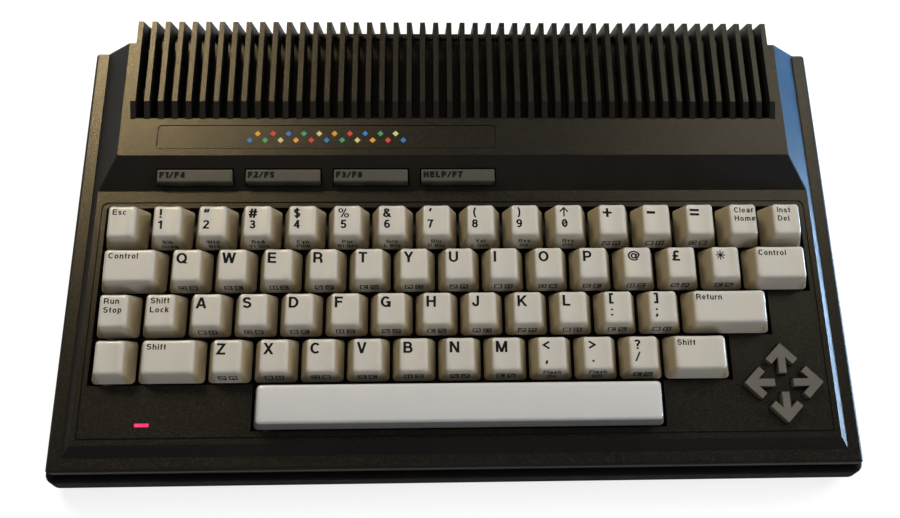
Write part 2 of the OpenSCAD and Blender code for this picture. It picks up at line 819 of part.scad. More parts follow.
// Hollow, tapered and dished key, with a square stem under each place in stems
module key_body(units, row, stems) {
    w = units * key_pitch - (row == 4 ? space_gap : key_gap);
    d = key_d;
    h = cap_top(row);
    side_in = row == 4 ? 2.1 : key_inset - key_gap / 2;
    dish_w = w - 2 * side_in;
    dish_r = (pow(dish_w / 2, 2) + pow(dish_depth, 2)) / (2 * dish_depth);
    difference() {
        intersection() {
            translate([-w / 2, 0, 0]) rotate([90, 0, 90]) linear_extrude(w) key_side(row, h);
            translate([0, d / 2, 0]) rotate([90, 0, 0]) linear_extrude(d) key_front(w, h, side_in);
            linear_extrude(h) round_rect([-w / 2, -d / 2], [w / 2, d / 2], 1.4);
        }
        intersection() {
            translate([-w / 2 + key_wall, 0, -eps]) rotate([90, 0, 90])
                linear_extrude(w - 2 * key_wall) polygon([
                    [-d / 2 + key_wall + 0.3, 0], [-d / 2 + 3.9, h - key_wall - 1.6],
                    [d / 2 - 3.4, h - key_wall - 1.2], [d / 2 - key_wall - 0.2, 0]
                ]);
            translate([0, d / 2, -eps]) rotate([90, 0, 0]) linear_extrude(d) polygon([
                [-w / 2 + key_wall + 0.2, 0], [-w / 2 + side_in + 1.4, h - key_wall - 0.6],
                [w / 2 - side_in - 1.4, h - key_wall - 0.6], [w / 2 - key_wall - 0.2, 0]
            ]);
        }
        if (row < 4)
            translate([0, -d, h + dish_r - dish_depth]) rotate([-90, 0, 0])
                cylinder(h = 2 * d, r = dish_r, $fn = 128);
    }
    for (x = stems)
        translate([x - stem_w / 2, -stem_w / 2, stem_low_n - cap_n])
            cube([stem_w, stem_w, h - 2 - (stem_low_n - cap_n)]);
}

// A key at its place in the block: left edge and width in key units, and row
module key(place, stems = [0]) {
    on_ledge()
        translate([key_x(place[0] + place[1] / 2), row_s(place[2]), cap_n])
            key_body(place[1], place[2], stems);
}

// The ordinary keys of one finger column, one in each row that reaches so far
module key_column(i) {
    color(ivory)
        for (row = [0 : 3])
            if (i < ROW_COUNT[row])
                key([ROW_FIRST[row] + i, 1, row]);
}

space_stems = [-3 * key_pitch, 0, 3 * key_pitch];

module key_esc() color(ivory) key(ESC);
module key_clear_home() color(ivory) key(CLEAR);
module key_inst_del() color(ivory) key(INST);
module key_control_left() color(ivory) key(CONTROL_L);
module key_control_right() color(ivory) key(CONTROL_R);
module key_run_stop() color(ivory) key(RUN_STOP);
module key_shift_lock() color(ivory) key(SHIFT_LOCK);
module key_corner() color(ivory) key(CORNER);
module key_shift_left() color(ivory) key(SHIFT_L);
module key_shift_right() color(ivory) key(SHIFT_R);
module key_return() color(ivory) key(RETURN);
module space_bar() color(ivory) key(SPACE, space_stems);

// One long function key with two stems
module function_key(i) {
    chamfer = 0.5;
    color(key_grey) on_ledge() translate([fkey_x(i), fkey_s, 0]) {
        across(-fkey_w / 2, fkey_w / 2) polygon([
            [-fkey_d / 2, fkey_low_n], [-fkey_d / 2, fkey_top_n - 0.5 - chamfer],
            [-fkey_d / 2 + chamfer, fkey_top_n - 0.5], [fkey_d / 2 - chamfer, fkey_top_n],
            [fkey_d / 2, fkey_top_n - chamfer], [fkey_d / 2, fkey_low_n]
        ]);
        for (x = fkey_stems)
            block([x - stem_w / 2, -stem_w / 2, stem_low_n], [x + stem_w / 2, stem_w / 2, fkey_low_n + eps]);
    }
}

// One arrow key: an arrow-shaped cap on a square stem
module cursor_key(turn) {
    color(key_grey) on_ledge() translate([arrow_x, arrow_s, 0]) rotate(turn) {
        translate([0, 0, arrow_low_n]) linear_extrude(arrow_top_n - arrow_low_n) arrow(0);
        translate([0, arrow_stem, 0])
            block([-arrow_stem_w / 2, -arrow_stem_w / 2, stem_low_n],
                  [arrow_stem_w / 2, arrow_stem_w / 2, arrow_low_n + eps]);
    }
}

// ---- keyboard frame and board ----

// Every stem of the main keys: x and s
MAIN_STEMS = concat(
    [for (k = SPECIALS) [key_x(k[0] + k[1] / 2), row_s(k[2])]],
    [for (row = [0 : 3], i = [0 : ROW_COUNT[row] - 1]) [key_x(ROW_FIRST[row] + i + 0.5), row_s(row)]],
    [for (x = space_stems) [key_x(SPACE[0] + SPACE[1] / 2) + x, row_s(4)]]
);
FKEY_STEMS = [for (i = [0 : 3], x = fkey_stems) [fkey_x(i) + x, fkey_s]];
ARROW_STEMS = [for (turn = ARROWS)
    [arrow_x - arrow_stem * sin(turn), arrow_s + arrow_stem * cos(turn)]];

// Squares of one size, centred on each place in a list
module squares(places, w) {
    for (p = places)
        translate([p[0] - w / 2, p[1] - w / 2]) square(w);
}

module keyboard_frame() {
    hole = stem_w + 2 * stem_gap;
    collar = hole + 2 * guide_wall;
    fkey_guide_n = frame_n + 2;
    color([0.18, 0.18, 0.18]) on_ledge() difference() {
        union() {
            translate([0, 0, frame_n - frame_t])
                block([-kbd_half, kbd_front, 0], [kbd_half, kbd_back, frame_t]);
            translate([0, 0, frame_n - 1]) linear_extrude(guide_top_n - frame_n + 1)
                squares(MAIN_STEMS, collar);
            translate([0, 0, frame_n - 1]) linear_extrude(fkey_guide_n - frame_n + 1)
                squares(FKEY_STEMS, collar);
            for (p = KBD_SCREWS)
                translate([p[0], p[1], kbd_board_n])
                    cylinder(h = frame_n - frame_t + 1 - kbd_board_n, d = kbd_post_d);
        }
        translate([0, 0, frame_n - frame_t - 1]) linear_extrude(40) {
            squares(concat(MAIN_STEMS, FKEY_STEMS), hole);
            squares(ARROW_STEMS, arrow_stem_w + 2 * stem_gap);
        }
        translate([0, 0, frame_n - frame_t - 1])
            block([led_x - 6, kbd_front - 1, 0], [led_x + 6, led_s + 6, frame_t + 2]);
        for (p = KBD_SCREWS)
            translate([p[0], p[1], kbd_board_n - 1]) cylinder(h = 12, d = kbd_screw_d + 0.4);
    }
}

module keyboard_board() {
    color(board_green) on_ledge() difference() {
        block([-kbd_half, kbd_front, kbd_board_n - board_t], [kbd_half, kbd_back, kbd_board_n]);
        for (p = KBD_SCREWS)
            translate([p[0], p[1], kbd_board_n - board_t - 1]) cylinder(h = 4, d = kbd_screw_d + 0.4);
    }
}

// A spring round each stem, drawn as the tube it fills
module spring_tubes(places, n0, n1) {
    wire = 0.3;
    inner = 7.3;
    for (p = places)
        translate([p[0], p[1], n0]) difference() {
            cylinder(h = n1 - n0, d = inner + 2 * wire, $fn = 32);
            translate([0, 0, -1]) cylinder(h = n1 - n0 + 2, d = inner, $fn = 32);
        }
}

module return_springs() {
    color(tin) on_ledge() {
        for (row = [0 : 4]) {
            places = [for (p = MAIN_STEMS) if (abs(p[1] - row_s(row)) < 1) p];
            spring_tubes(places, guide_top_n, cap_n + cap_top(row) - key_wall - 1.7);
        }
        spring_tubes(FKEY_STEMS, frame_n + 2, fkey_low_n);
    }
}

// Flat cable from the keyboard board down to its header on the main board
cable_w = 46;
cable_x = 20;
header_y = world_y(kbd_back, 0) + 8;

module keyboard_cable() {
    y0 = world_y(kbd_back - 8, kbd_board_n - board_t);
    z0 = world_z(kbd_back - 8, kbd_board_n - board_t);
    t = 0.9;
    color([0.6, 0.6, 0.62]) {
        on_ledge() block([cable_x - cable_w / 2, kbd_back - 11, kbd_board_n - board_t - 2.6],
                         [cable_x + cable_w / 2, kbd_back - 6, kbd_board_n - board_t]);
        translate([cable_x - cable_w / 2 + 1, 0, 0]) rotate([90, 0, 90]) linear_extrude(cable_w - 2)
            polygon([
                [y0, z0 - 1.2], [header_y - 4, z0 - 0.5], [header_y + t, z0 - 3.5],
                [header_y + t, board_top + 5], [header_y, board_top + 5],
                [header_y, z0 - 3.5 - t], [header_y - 4, z0 - 0.5 - t], [y0, z0 - 1.2 - t]
            ]);
        block([cable_x - cable_w / 2, header_y - 2, board_top],
              [cable_x + cable_w / 2, header_y + 3, board_top + 6]);
    }
}

// ---- main board and what stands on it ----

module main_board() {
    tongue_half = user_w / 2 - 3;
    color(board_green) difference() {
        union() {
            block([-board_half, board_front, board_z], [board_half, board_back, board_top]);
            block([port_x(8) - tongue_half, board_back - 1, board_z],
                  [port_x(8) + tongue_half, tray_back - 5, board_top]);
            block([board_half - 1, switch_y - 38, board_z],
                  [half_w - wall - 5.5, switch_y + 14, board_top]);
        }
        for (p = BOARD_SCREWS)
            translate([p[0], p[1], board_z - 1]) cylinder(h = board_t + 2, d = board_hole);
    }
}

// Chips on the board: x and y from its back left corner, length and width
CHIPS = [
    [30, 66, 52, 14], [30, 86, 52, 14], [92, 66, 52, 14], [92, 86, 37, 14],
    [150, 70, 37, 14], [196, 70, 37, 14], [240, 66, 37, 14], [150, 86, 20, 7.5],
    [178, 86, 20, 7.5], [206, 86, 20, 7.5], [234, 86, 20, 7.5], [262, 86, 20, 7.5]
];

module chips() {
    color([0.09, 0.09, 0.1])
        for (c = CHIPS)
            translate([-board_half + c[0] - 20, board_back - c[1], board_top])
                cube([c[2] - 2, c[3], 3.6]);
}

small_cap_d = 5.6;
small_cap_y = world_y(kbd_back, kbd_board_n - board_t) + small_cap_d / 2 + gap;

module capacitors() {
    color([0.2, 0.25, 0.4]) {
        for (i = [0 : 4])
            translate([board_half - 40 + 6.5 * i, small_cap_y, board_top])
                cylinder(h = 11, d = small_cap_d);
        for (i = [0 : 2])
            translate([-board_half + 14 + 14 * i, board_back - 30, board_top]) cylinder(h = 16, d = 10);
    }
}

// Perforated tin screen over the fast part of the board
module rf_shield() {
    t = 0.8;
    x0 = -board_half + 60;
    x1 = min(board_half - 72, BOARD_SCREWS[4][0] - 5);
    y0 = board_back - 41;
    y1 = board_back - 17;
    top = min(board_top + 22, world_z(baffle_s, rim_low_n + wall - baffle_t) - 1);
    rows = 24;
    color(tin) difference() {
        block([x0, y0, board_top], [x1, y1, top]);
        block([x0 + t, y0 + t, board_top - 1], [x1 - t, y1 - t, top - t]);
        for (i = [0 : rows - 1])
            translate([x0 + 6 + i * (x1 - x0 - 12) / (rows - 1), 0, 0])
                block([-1.5, y0 + 5, top - 2], [1.5, y1 - 5, top + 1]);
    }
}

// Television modulator: a tin can with a phono jack at the back
module tv_modulator() {
    x = port_x(1);
    half = modulator_w / 2 - 1;
    color(tin) difference() {
        union() {
            block([x - half, socket_face - 36, board_top], [x + half, socket_face, board_top + din_h]);
            rod_y(jack_x, socket_face - 1, jack_end, din_z, jack_d);
        }
        rod_y(jack_x, socket_face + 1, jack_end + 1, din_z, 3.4);
        block([slider_x - 4.5, socket_face - 5, slider_z - 1.6],
              [slider_x + 4.5, socket_face + 1, slider_z + 1.6]);
    }
}

// Slide that picks the channel, at the left end of its slot
module channel_switch() {
    color("dimgray") {
        block([slider_x - 4.5 + gap, socket_face - 4.5, slider_z - 1.6 + gap],
              [slider_x + 4.5 - gap - slider_travel, socket_face - 1, slider_z + 1.6 - gap]);
        block([slider_x - 3, socket_face - 2, slider_z - 1],
              [slider_x - 1, back_wall_y - 0.5, slider_z + 1]);
    }
}

// Round multi-pole socket that faces +y
module round_socket(x, w, h, shell_d, core_d, pins, ring) {
    depth = 16;
    z = board_top + h / 2;
    difference() {
        union() {
            block([x - w / 2 + 0.5, socket_face - depth, board_top],
                  [x + w / 2 - 0.5, socket_face, board_top + h]);
            rod_y(x, socket_face - 1, socket_face + 2.4, z, shell_d + 1.6);
        }
        difference() {
            rod_y(x, socket_face - 6, socket_face + 3, z, shell_d);
            rod_y(x, socket_face - 7, socket_face + 1.6, z, core_d);
        }
        for (i = [0 : pins - 1])
            rod_y(x + ring * cos(-30 + 240 * i / (pins - 1)), socket_face - 4, socket_face + 3,
                  z + ring * sin(-30 + 240 * i / (pins - 1)), 1.3);
    }
}

module power_socket() color([0.1, 0.1, 0.1]) round_socket(port_x(0), power_w, din_h, 13.8, 11.4, 7, 3.6);

module din_sockets() {
    color([0.1, 0.1, 0.1]) {
        round_socket(port_x(2), din_w, din_h, 13.8, 11.4, 8, 3.6);
        round_socket(port_x(7), din_w, din_h, 13.8, 11.4, 6, 3.6);
    }
}

module control_sockets() {
    color([0.1, 0.1, 0.1])
        for (i = [3, 4, 6])
            round_socket(port_x(i), mini_w, mini_h, 9.4, 7.2, 7, 2.3);
}

// Card-edge connector behind the expansion opening
module expansion_connector() {
    x = port_x(5);
    half = expansion_w / 2 - 2;
    color([0.25, 0.3, 0.35]) difference() {
        block([x - half, socket_face - 16, board_top], [x + half, socket_face - 1, board_top + expansion_h]);
        block([x - half + 4, socket_face - 10, expansion_z - 1.1],
              [x + half - 4, socket_face, expansion_z + 1.1]);
    }
}

// ---- side switches ----

module power_switch_housing() {
    out = half_w - wall - gap;
    wide = rocker_w / 2 + 3;
    color([0.1, 0.1, 0.1]) difference() {
        union() {
            block([out - 20, switch_y - wide, board_top],
                  [tray_in - gap, switch_y + wide, switch_z + rocker_h / 2 + 3]);
            block([tray_in - 4, switch_y - wide, tray_top + tongue_h + gap],
                  [out, switch_y + wide, switch_z + rocker_h / 2 + 3]);
        }
        block([out - 16, switch_y - rocker_w / 2 - 0.8, switch_z - rocker_h / 2 - 0.6],
              [out + 1, switch_y + rocker_w / 2 + 0.8, switch_z + rocker_h / 2 + 0.6]);
        translate([rocker_pivot_x, switch_y, switch_z - rocker_h / 2 - 2])
            cylinder(h = rocker_h + 4, d = rocker_pin_d + 0.4);
    }
}

// Rocker that pivots on an upright pin, at rest tipped to its off side
module power_rocker() {
    half = rocker_w / 2;
    color([0.15, 0.15, 0.15]) translate([rocker_pivot_x, switch_y, switch_z]) rotate(-rocker_swing) {
        translate([0, 0, -rocker_h / 2]) linear_extrude(rocker_h) polygon([
            [-5, -3], [0, -half + 0.6], [4.5, -half + 0.6], [6.4, -half + 1.4], [5.4, 0],
            [6.4, half - 1.4], [4.5, half - 0.6], [0, half - 0.6], [-5, 3]
        ]);
        translate([0, 0, -rocker_h / 2 - 1.7]) cylinder(h = rocker_h + 3.4, d = rocker_pin_d);
    }
}

module reset_switch_housing() {
    out = half_w - wall - gap;
    color([0.1, 0.1, 0.1]) difference() {
        block([out - 14, reset_y - 5, board_top], [out - 4, reset_y + 5, reset_z + 5]);
        translate([out - 12, reset_y, reset_z]) rotate([0, 90, 0]) cylinder(h = 20, d = 3.6);
    }
}

module reset_button() {
    out = half_w - wall - gap;
    color("dimgray") translate([0, reset_y, reset_z]) rotate([0, 90, 0]) {
        translate([0, 0, out - 4 + reset_travel + gap])
            cylinder(h = half_w + 1.4 - (out - 4 + reset_travel + gap), d = reset_d);
        translate([0, 0, out - 12 + reset_travel + gap])
            cylinder(h = 8.5, d = 3);
    }
}

lower_case();
upper_case();
badge_plate();
led_lens();
led_lamp();
keyboard_frame();
keyboard_board();
keyboard_cable();
keyboard_screws();
return_springs();
key_esc();
key_clear_home();
key_inst_del();
key_control_left();
key_control_right();
key_run_stop();
key_shift_lock();
key_corner();
key_shift_left();
key_shift_right();
key_return();
space_bar();
key_column(0);  // key_column_1
key_column(1);  // key_column_2
key_column(2);  // key_column_3
key_column(3);  // key_column_4
key_column(4);  // key_column_5
key_column(5);  // key_column_6
key_column(6);  // key_column_7
key_column(7);  // key_column_8
key_column(8);  // key_column_9
key_column(9);  // key_column_10
key_column(10);  // key_column_11
key_column(11);  // key_column_12
key_column(12);  // key_column_13
function_key(0);  // function_key_1
function_key(1);  // function_key_2
function_key(2);  // function_key_3
function_key(3);  // function_key_4
cursor_key(0);  // cursor_up
cursor_key(90);  // cursor_left
cursor_key(180);  // cursor_down
cursor_key(270);  // cursor_right
main_board();
chips();
capacitors();
rf_shield();
tv_modulator();
channel_switch();
power_socket();
din_sockets();
control_sockets();
expansion_connector();
power_switch_housing();
power_rocker();
reset_switch_housing();
reset_button();
rubber_feet();
case_screws();
board_screws();
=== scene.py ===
import math

import bmesh
import bpy
from mathutils import Matrix, Vector
from mathutils.geometry import delaunay_2d_cdt


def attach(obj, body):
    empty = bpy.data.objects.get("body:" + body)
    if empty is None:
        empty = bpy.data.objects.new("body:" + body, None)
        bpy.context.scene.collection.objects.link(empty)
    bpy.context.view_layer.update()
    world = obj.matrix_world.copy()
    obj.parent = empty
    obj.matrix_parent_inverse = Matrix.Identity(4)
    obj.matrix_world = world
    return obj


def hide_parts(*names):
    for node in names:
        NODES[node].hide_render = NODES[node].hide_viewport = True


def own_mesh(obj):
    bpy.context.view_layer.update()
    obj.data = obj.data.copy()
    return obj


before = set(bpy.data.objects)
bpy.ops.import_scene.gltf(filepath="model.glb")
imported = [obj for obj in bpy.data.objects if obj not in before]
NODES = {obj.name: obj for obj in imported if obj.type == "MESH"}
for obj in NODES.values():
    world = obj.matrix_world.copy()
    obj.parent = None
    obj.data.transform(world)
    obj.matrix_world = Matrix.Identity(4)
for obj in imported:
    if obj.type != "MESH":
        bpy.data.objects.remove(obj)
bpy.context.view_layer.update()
MM = 0.001

# ---------------- sizes, in mm, as in the CAD
# A place on the ledge is x, s (up the slope from its front lip) and n (square to it).
KEY = 19.05
ROW = 19.3
KEY_GAP = 1.2
ROW_GAP = 1.45
KEY_H = 9.5
ROW_RISE = 0.8
SPACE_GAP = 2.7
CAP_N = 3.0
SIDE_IN = 3.5
STEM_LOW = -11.4
STEM_W = 5.0
GUIDE_TOP = 2.5
HALF_W = 167.6
TILT = math.radians(8.5)
LIP_Y = -101.111
LIP_Z = 22.4
TOP_ROW = 102.05
SLOPE_S = 120.7
DECK_S = 134.8
DECK_N = 10.5
PANEL_N = 2.8
LEDGE = (Matrix.Translation((0, LIP_Y * MM, LIP_Z * MM)) @ Matrix.Rotation(TILT, 4, "X")
         @ Matrix.Scale(MM, 4))


def key_x(units):
    return (units - 8) * KEY


def row_s(row):
    return TOP_ROW - row * ROW


# ---------------- camera
cam_data = bpy.data.cameras.new("camera")
cam_data.lens = 40.0
cam_data.sensor_width = 36.0
cam_data.shift_x = -0.0224
cam_data.shift_y = -0.0426
cam_data.clip_start = 0.01
cam_data.clip_end = 20
camera = bpy.data.objects.new("camera", cam_data)
bpy.context.scene.collection.objects.link(camera)
camera.location = (-0.01166, -0.20765, 0.42897)
camera.rotation_euler = [math.radians(a) for a in (28.605, -1.851, -1.2671)]
bpy.context.scene.camera = camera


# ---------------- materials
def new_material(name):
    mat = bpy.data.materials.new(name)
    mat.use_nodes = True
    tree = mat.node_tree
    shader = next(n for n in tree.nodes if n.type == "BSDF_PRINCIPLED")
    return mat, tree, shader


def add(tree, kind, **values):
    node = tree.nodes.new(kind)
    for key, value in values.items():
        setattr(node, key, value)
    return node


def noise(tree, coords, scale, detail=2.0, rough=0.5, stretch=None):
    """A noise texture's value, in cycles per metre."""
    source = coords
    if stretch:
        mapping = add(tree, "ShaderNodeMapping")
        mapping.inputs["Scale"].default_value = stretch
        tree.links.new(coords, mapping.inputs["Vector"])
        source = mapping.outputs["Vector"]
    n = add(tree, "ShaderNodeTexNoise")
    n.inputs["Scale"].default_value = scale
    n.inputs["Detail"].default_value = detail
    n.inputs["Roughness"].default_value = rough
    tree.links.new(source, n.inputs["Vector"])
    return n.outputs["Fac"]


def spread(tree, value, low, high, to_low, to_high):
    n = add(tree, "ShaderNodeMapRange", clamp=True)
    for key, v in (("From Min", low), ("From Max", high), ("To Min", to_low), ("To Max", to_high)):
        n.inputs[key].default_value = v
    tree.links.new(value, n.inputs["Value"])
    return n.outputs["Result"]


def maths(tree, op, a, b=None):
    n = add(tree, "ShaderNodeMath", operation=op)
    for i, v in enumerate((a, b)):
        if v is None:
            continue
        if isinstance(v, (int, float)):
            n.inputs[i].default_value = v
        else:
            tree.links.new(v, n.inputs[i])
    return n.outputs[0]


def mix(tree, factor, a, b, blend="MIX"):
    """A mix of two colours, each a tuple or a socket."""
    n = add(tree, "ShaderNodeMix", data_type="RGBA", blend_type=blend)
    for i, v in ((0, factor), (6, a), (7, b)):
        if isinstance(v, (int, float)):
            n.inputs[i].default_value = v
        elif isinstance(v, tuple):
            n.inputs[i].default_value = (*v, 1)
        else:
            tree.links.new(v, n.inputs[i])
    return n.outputs[2]


def blend(tree, factor, a, b):
    """A mix of two values, all sockets."""
    n = add(tree, "ShaderNodeMix", data_type="FLOAT")
    for i, v in ((0, factor), (2, a), (3, b)):
        tree.links.new(v, n.inputs[i])
    return n.outputs[0]


def blotched(tree, value, a, b, low=0.3, high=0.7):
    """Two close colours, parted by a noise's value."""
    return mix(tree, spread(tree, value, low, high, 0, 1), a, b)


def paint(tree, shader, colour):
    tree.links.new(colour, shader.inputs["Base Color"])


def roughen(tree, shader, value, low, high):
    """Roughness from low to high over the usual range of a noise."""
    tree.links.new(spread(tree, value, 0.3, 0.7, low, high), shader.inputs["Roughness"])


def bump(tree, shader, height, distance):
    n = add(tree, "ShaderNodeBump")
    n.inputs["Strength"].default_value = 1.0
    n.inputs["Distance"].default_value = distance
    tree.links.new(height, n.inputs["Height"])
    tree.links.new(n.outputs["Normal"], shader.inputs["Normal"])


def coordinates(tree):
    return add(tree, "ShaderNodeTexCoord").outputs["Object"]


def plastic(name, colour, other, rough=(0.4, 0.5), grain=2600, depth=0.00004, level=0.4):
    """Moulded plastic: two close colours in soft patches, a fine grain, uneven gloss."""
    mat, tree, shader = new_material(name)
    co = coordinates(tree)
    fine = noise(tree, co, grain, 2, 0.6)
    tone = blotched(tree, noise(tree, co, 90, 3, 0.6), colour, other)
    speck = spread(tree, fine, 0.3, 0.7, 0.9, 1.06)
    grey = add(tree, "ShaderNodeCombineColor")
    for i in range(3):
        tree.links.new(speck, grey.inputs[i])
    paint(tree, shader, mix(tree, 1.0, tone, grey.outputs[0], "MULTIPLY"))
    roughen(tree, shader, noise(tree, co, 207, 3, 0.6), *rough)
    shader.inputs["Specular IOR Level"].default_value = level
    bump(tree, shader, fine, depth)
    return mat


def case_material():
    """Textured dark plastic on every face that lies in the sloping plane, smoother elsewhere."""
    mat, tree, shader = new_material("case_textured")
    co = coordinates(tree)
    up = add(tree, "ShaderNodeVectorMath", operation="DOT_PRODUCT")
    normal = add(tree, "ShaderNodeNewGeometry").outputs["True Normal"]
    up.inputs[1].default_value = (0, -math.sin(TILT), math.cos(TILT))
    tree.links.new(normal, up.inputs[0])
    flat = spread(tree, up.outputs["Value"], 0.985, 0.998, 0, 1)
    grain = noise(tree, co, 1500, 3, 0.65)
    coarse = noise(tree, co, 900, 2, 0.5)
    patch = noise(tree, co, 38, 3, 0.6)
    textured = blotched(tree, patch, (0.0050, 0.0044, 0.0037), (0.0064, 0.0056, 0.0046),
                        0.35, 0.65)
    speckled = blotched(tree, coarse, textured, (0.0150, 0.0128, 0.0092), 0.45, 0.75)
    smooth = blotched(tree, patch, (0.0055, 0.0047, 0.0044), (0.0075, 0.0064, 0.0060))
    paint(tree, shader, mix(tree, flat, smooth, speckled))
    rough_flat = spread(tree, grain, 0.3, 0.7, 0.24, 0.30)
    rough_smooth = spread(tree, noise(tree, co, 120, 3, 0.6), 0.3, 0.7, 0.47, 0.54)
    tree.links.new(blend(tree, flat, rough_smooth, rough_flat), shader.inputs["Roughness"])
    shader.inputs["Specular IOR Level"].default_value = 0.16
    shader.inputs["Specular Tint"].default_value = (1.0, 0.93, 0.78, 1)
    fine = noise(tree, co, 2600, 2, 0.6)
    height = maths(tree, "ADD", fine, maths(tree, "MULTIPLY", grain, 0.8))
    amount = maths(tree, "MULTIPLY", height, spread(tree, flat, 0, 1, 0.12, 1.0))
    bump(tree, shader, amount, 0.00005)
    return mat


def key_material(name, tops, sides):
    """Ivory plastic: paler tops, and flanks in a darker, yellower colour that is painted shade with
    a painted warm reflection.
    """
    mat, tree, shader = new_material(name)
    co = coordinates(tree)
    tone = add(tree, "ShaderNodeAttribute", attribute_name="flank").outputs["Fac"]
    patch = spread(tree, noise(tree, co, 75, 3, 0.6), 0.32, 0.68, 0, 1)
    fine = noise(tree, co, 3400, 2, 0.6)
    top = mix(tree, patch, *tops)
    side = mix(tree, patch, *sides)
    # the flank attribute mixes in the sides colour: painted shade with a painted warm reflection on
    # the key walls
    colour = mix(tree, tone, top, side)
    dirt = spread(tree, noise(tree, co, 420, 4, 0.7), 0.62, 0.78, 0, 0.12)
    paint(tree, shader, mix(tree, dirt, colour, (0.25, 0.21, 0.15)))
    roughen(tree, shader, noise(tree, co, 160, 3, 0.6), 0.30, 0.38)
    shader.inputs["Specular IOR Level"].default_value = 0.42
    bump(tree, shader, fine, 0.00003)
    return mat


def ink(name, colour, other, level=0.1):
    mat, tree, shader = new_material(name)
    co = coordinates(tree)
    paint(tree, shader, blotched(tree, noise(tree, co, 900, 3, 0.6), colour, other, 0.4, 0.65))
    roughen(tree, shader, noise(tree, co, 500, 2, 0.5), 0.45, 0.6)
    shader.inputs["Specular IOR Level"].default_value = level
    return mat


def lamp_material():
    """The tinted lens of the power light, lit from below."""
    mat, tree, shader = new_material("led_lit")
    co = coordinates(tree)
    body = noise(tree, co, 700, 2, 0.5)
    paint(tree, shader, blotched(tree, body, (0.55, 0.008, 0.035), (0.7, 0.015, 0.06)))
    tree.links.new(blotched(tree, body, (0.85, 0.02, 0.17), (0.95, 0.05, 0.26)),
                   shader.inputs["Emission Color"])
    shader.inputs["Emission Strength"].default_value = 0.75
    roughen(tree, shader, body, 0.2, 0.3)
    return mat


def board_material():
    """Green solder mask over faint copper tracks."""
    mat, tree, shader = new_material("circuit_board")
    co = coordinates(tree)
    tracks = []
    for angle in (0, 90):
        mapping = add(tree, "ShaderNodeMapping")
        mapping.inputs["Rotation"].default_value = (0, 0, math.radians(angle))
        tree.links.new(co, mapping.inputs["Vector"])
        wave = add(tree, "ShaderNodeTexWave", wave_type="BANDS", bands_direction="X")
        wave.inputs["Scale"].default_value = 55
        wave.inputs["Distortion"].default_value = 3
        wave.inputs["Detail Scale"].default_value = 0.6
        tree.links.new(mapping.outputs["Vector"], wave.inputs["Vector"])
        tracks.append(spread(tree, wave.outputs["Fac"], 0.6, 0.75, 0, 1))
    where = spread(tree, noise(tree, co, 40, 1, 0.5), 0.48, 0.52, 0, 1)
    copper = blend(tree, where, *tracks)
    paint(tree, shader, mix(tree, copper, (0.012, 0.075, 0.028), (0.03, 0.14, 0.05)))
    roughen(tree, shader, noise(tree, co, 300, 2, 0.5), 0.28, 0.4)
    bump(tree, shader, copper, 0.00003)
    return mat


def metal(name, colour, other, rough=(0.3, 0.45), stretch=(1, 1, 1), scale=400):
    mat, tree, shader = new_material(name)
    co = coordinates(tree)
    wear = noise(tree, co, scale, 4, 0.65, stretch)
    paint(tree, shader, blotched(tree, wear, colour, other, 0.35, 0.65))
    roughen(tree, shader, wear, *rough)
    shader.inputs["Metallic"].default_value = 1.0
    bump(tree, shader, wear, 0.00002)
    return mat


def ribbon_material():
    """Grey flat cable with a line between its conductors."""
    mat, tree, shader = new_material("cable_ribbed")
    co = coordinates(tree)
    wave = add(tree, "ShaderNodeTexWave", wave_type="BANDS", bands_direction="X")
    wave.inputs["Scale"].default_value = 120
    tree.links.new(co, wave.inputs["Vector"])
    paint(tree, shader, mix(tree, wave.outputs["Fac"], (0.2, 0.2, 0.21), (0.36, 0.36, 0.37)))
    roughen(tree, shader, noise(tree, co, 200), 0.4, 0.55)
    bump(tree, shader, wave.outputs["Fac"], 0.0002)
    return mat


CASE = case_material()
# The second pair of each is the flank colour: painted shade with a painted warm reflection on the
# ivory keys, and a dark grey painted shade on the space bar's front and sides
IVORY = key_material("key_ivory", ((0.382, 0.358, 0.310), (0.398, 0.366, 0.300)),
                     ((0.27, 0.220, 0.138), (0.29, 0.230, 0.133)))
PALE = key_material("key_pale", ((0.410, 0.400, 0.374), (0.425, 0.412, 0.380)),
                    ((0.085, 0.080, 0.084), (0.10, 0.094, 0.096)))
BLACK_INK = ink("legend_black", (0.006, 0.0055, 0.0055), (0.012, 0.011, 0.010), 0.02)
GREY_INK = ink("legend_grey", (0.022, 0.020, 0.018), (0.036, 0.032, 0.028))
GREY = plastic("key_grey", (0.077, 0.070, 0.055), (0.090, 0.082, 0.065), (0.42, 0.55),
               2400, 0.00006, 0.25)
FUNCTION_GREY = plastic("key_grey_dark", (0.040, 0.036, 0.028), (0.049, 0.044, 0.034),
                        (0.40, 0.52), 2400, 0.00006, 0.2)
BLACK = plastic("black_moulded", (0.010, 0.0095, 0.009), (0.016, 0.015, 0.014), (0.4, 0.55),
                1500, 0.00008)
TRAY = plastic("case_lower", (0.0034, 0.0028, 0.0025), (0.0046, 0.0038, 0.0035), (0.66, 0.76),
               1500, 0.00006, 0.03)
FRAME_BLACK = plastic("frame_black", (0.006, 0.0058, 0.0055), (0.009, 0.0085, 0.008), (0.5, 0.65),
                      1500, 0.00008, 0.25)
LED = lamp_material()
BOARD = board_material()
TIN = metal("tinplate", (0.62, 0.61, 0.58), (0.74, 0.73, 0.70))
STEEL = metal("screw_steel", (0.42, 0.41, 0.40), (0.56, 0.55, 0.53), (0.25, 0.4), (1, 1, 4), 900)
SPRING = metal("spring_steel", (0.5, 0.5, 0.5), (0.62, 0.61, 0.6), (0.25, 0.4), (1, 1, 14), 500)
SLEEVE = plastic("capacitor_sleeve", (0.03, 0.05, 0.16), (0.05, 0.07, 0.2), (0.25, 0.35), 900)
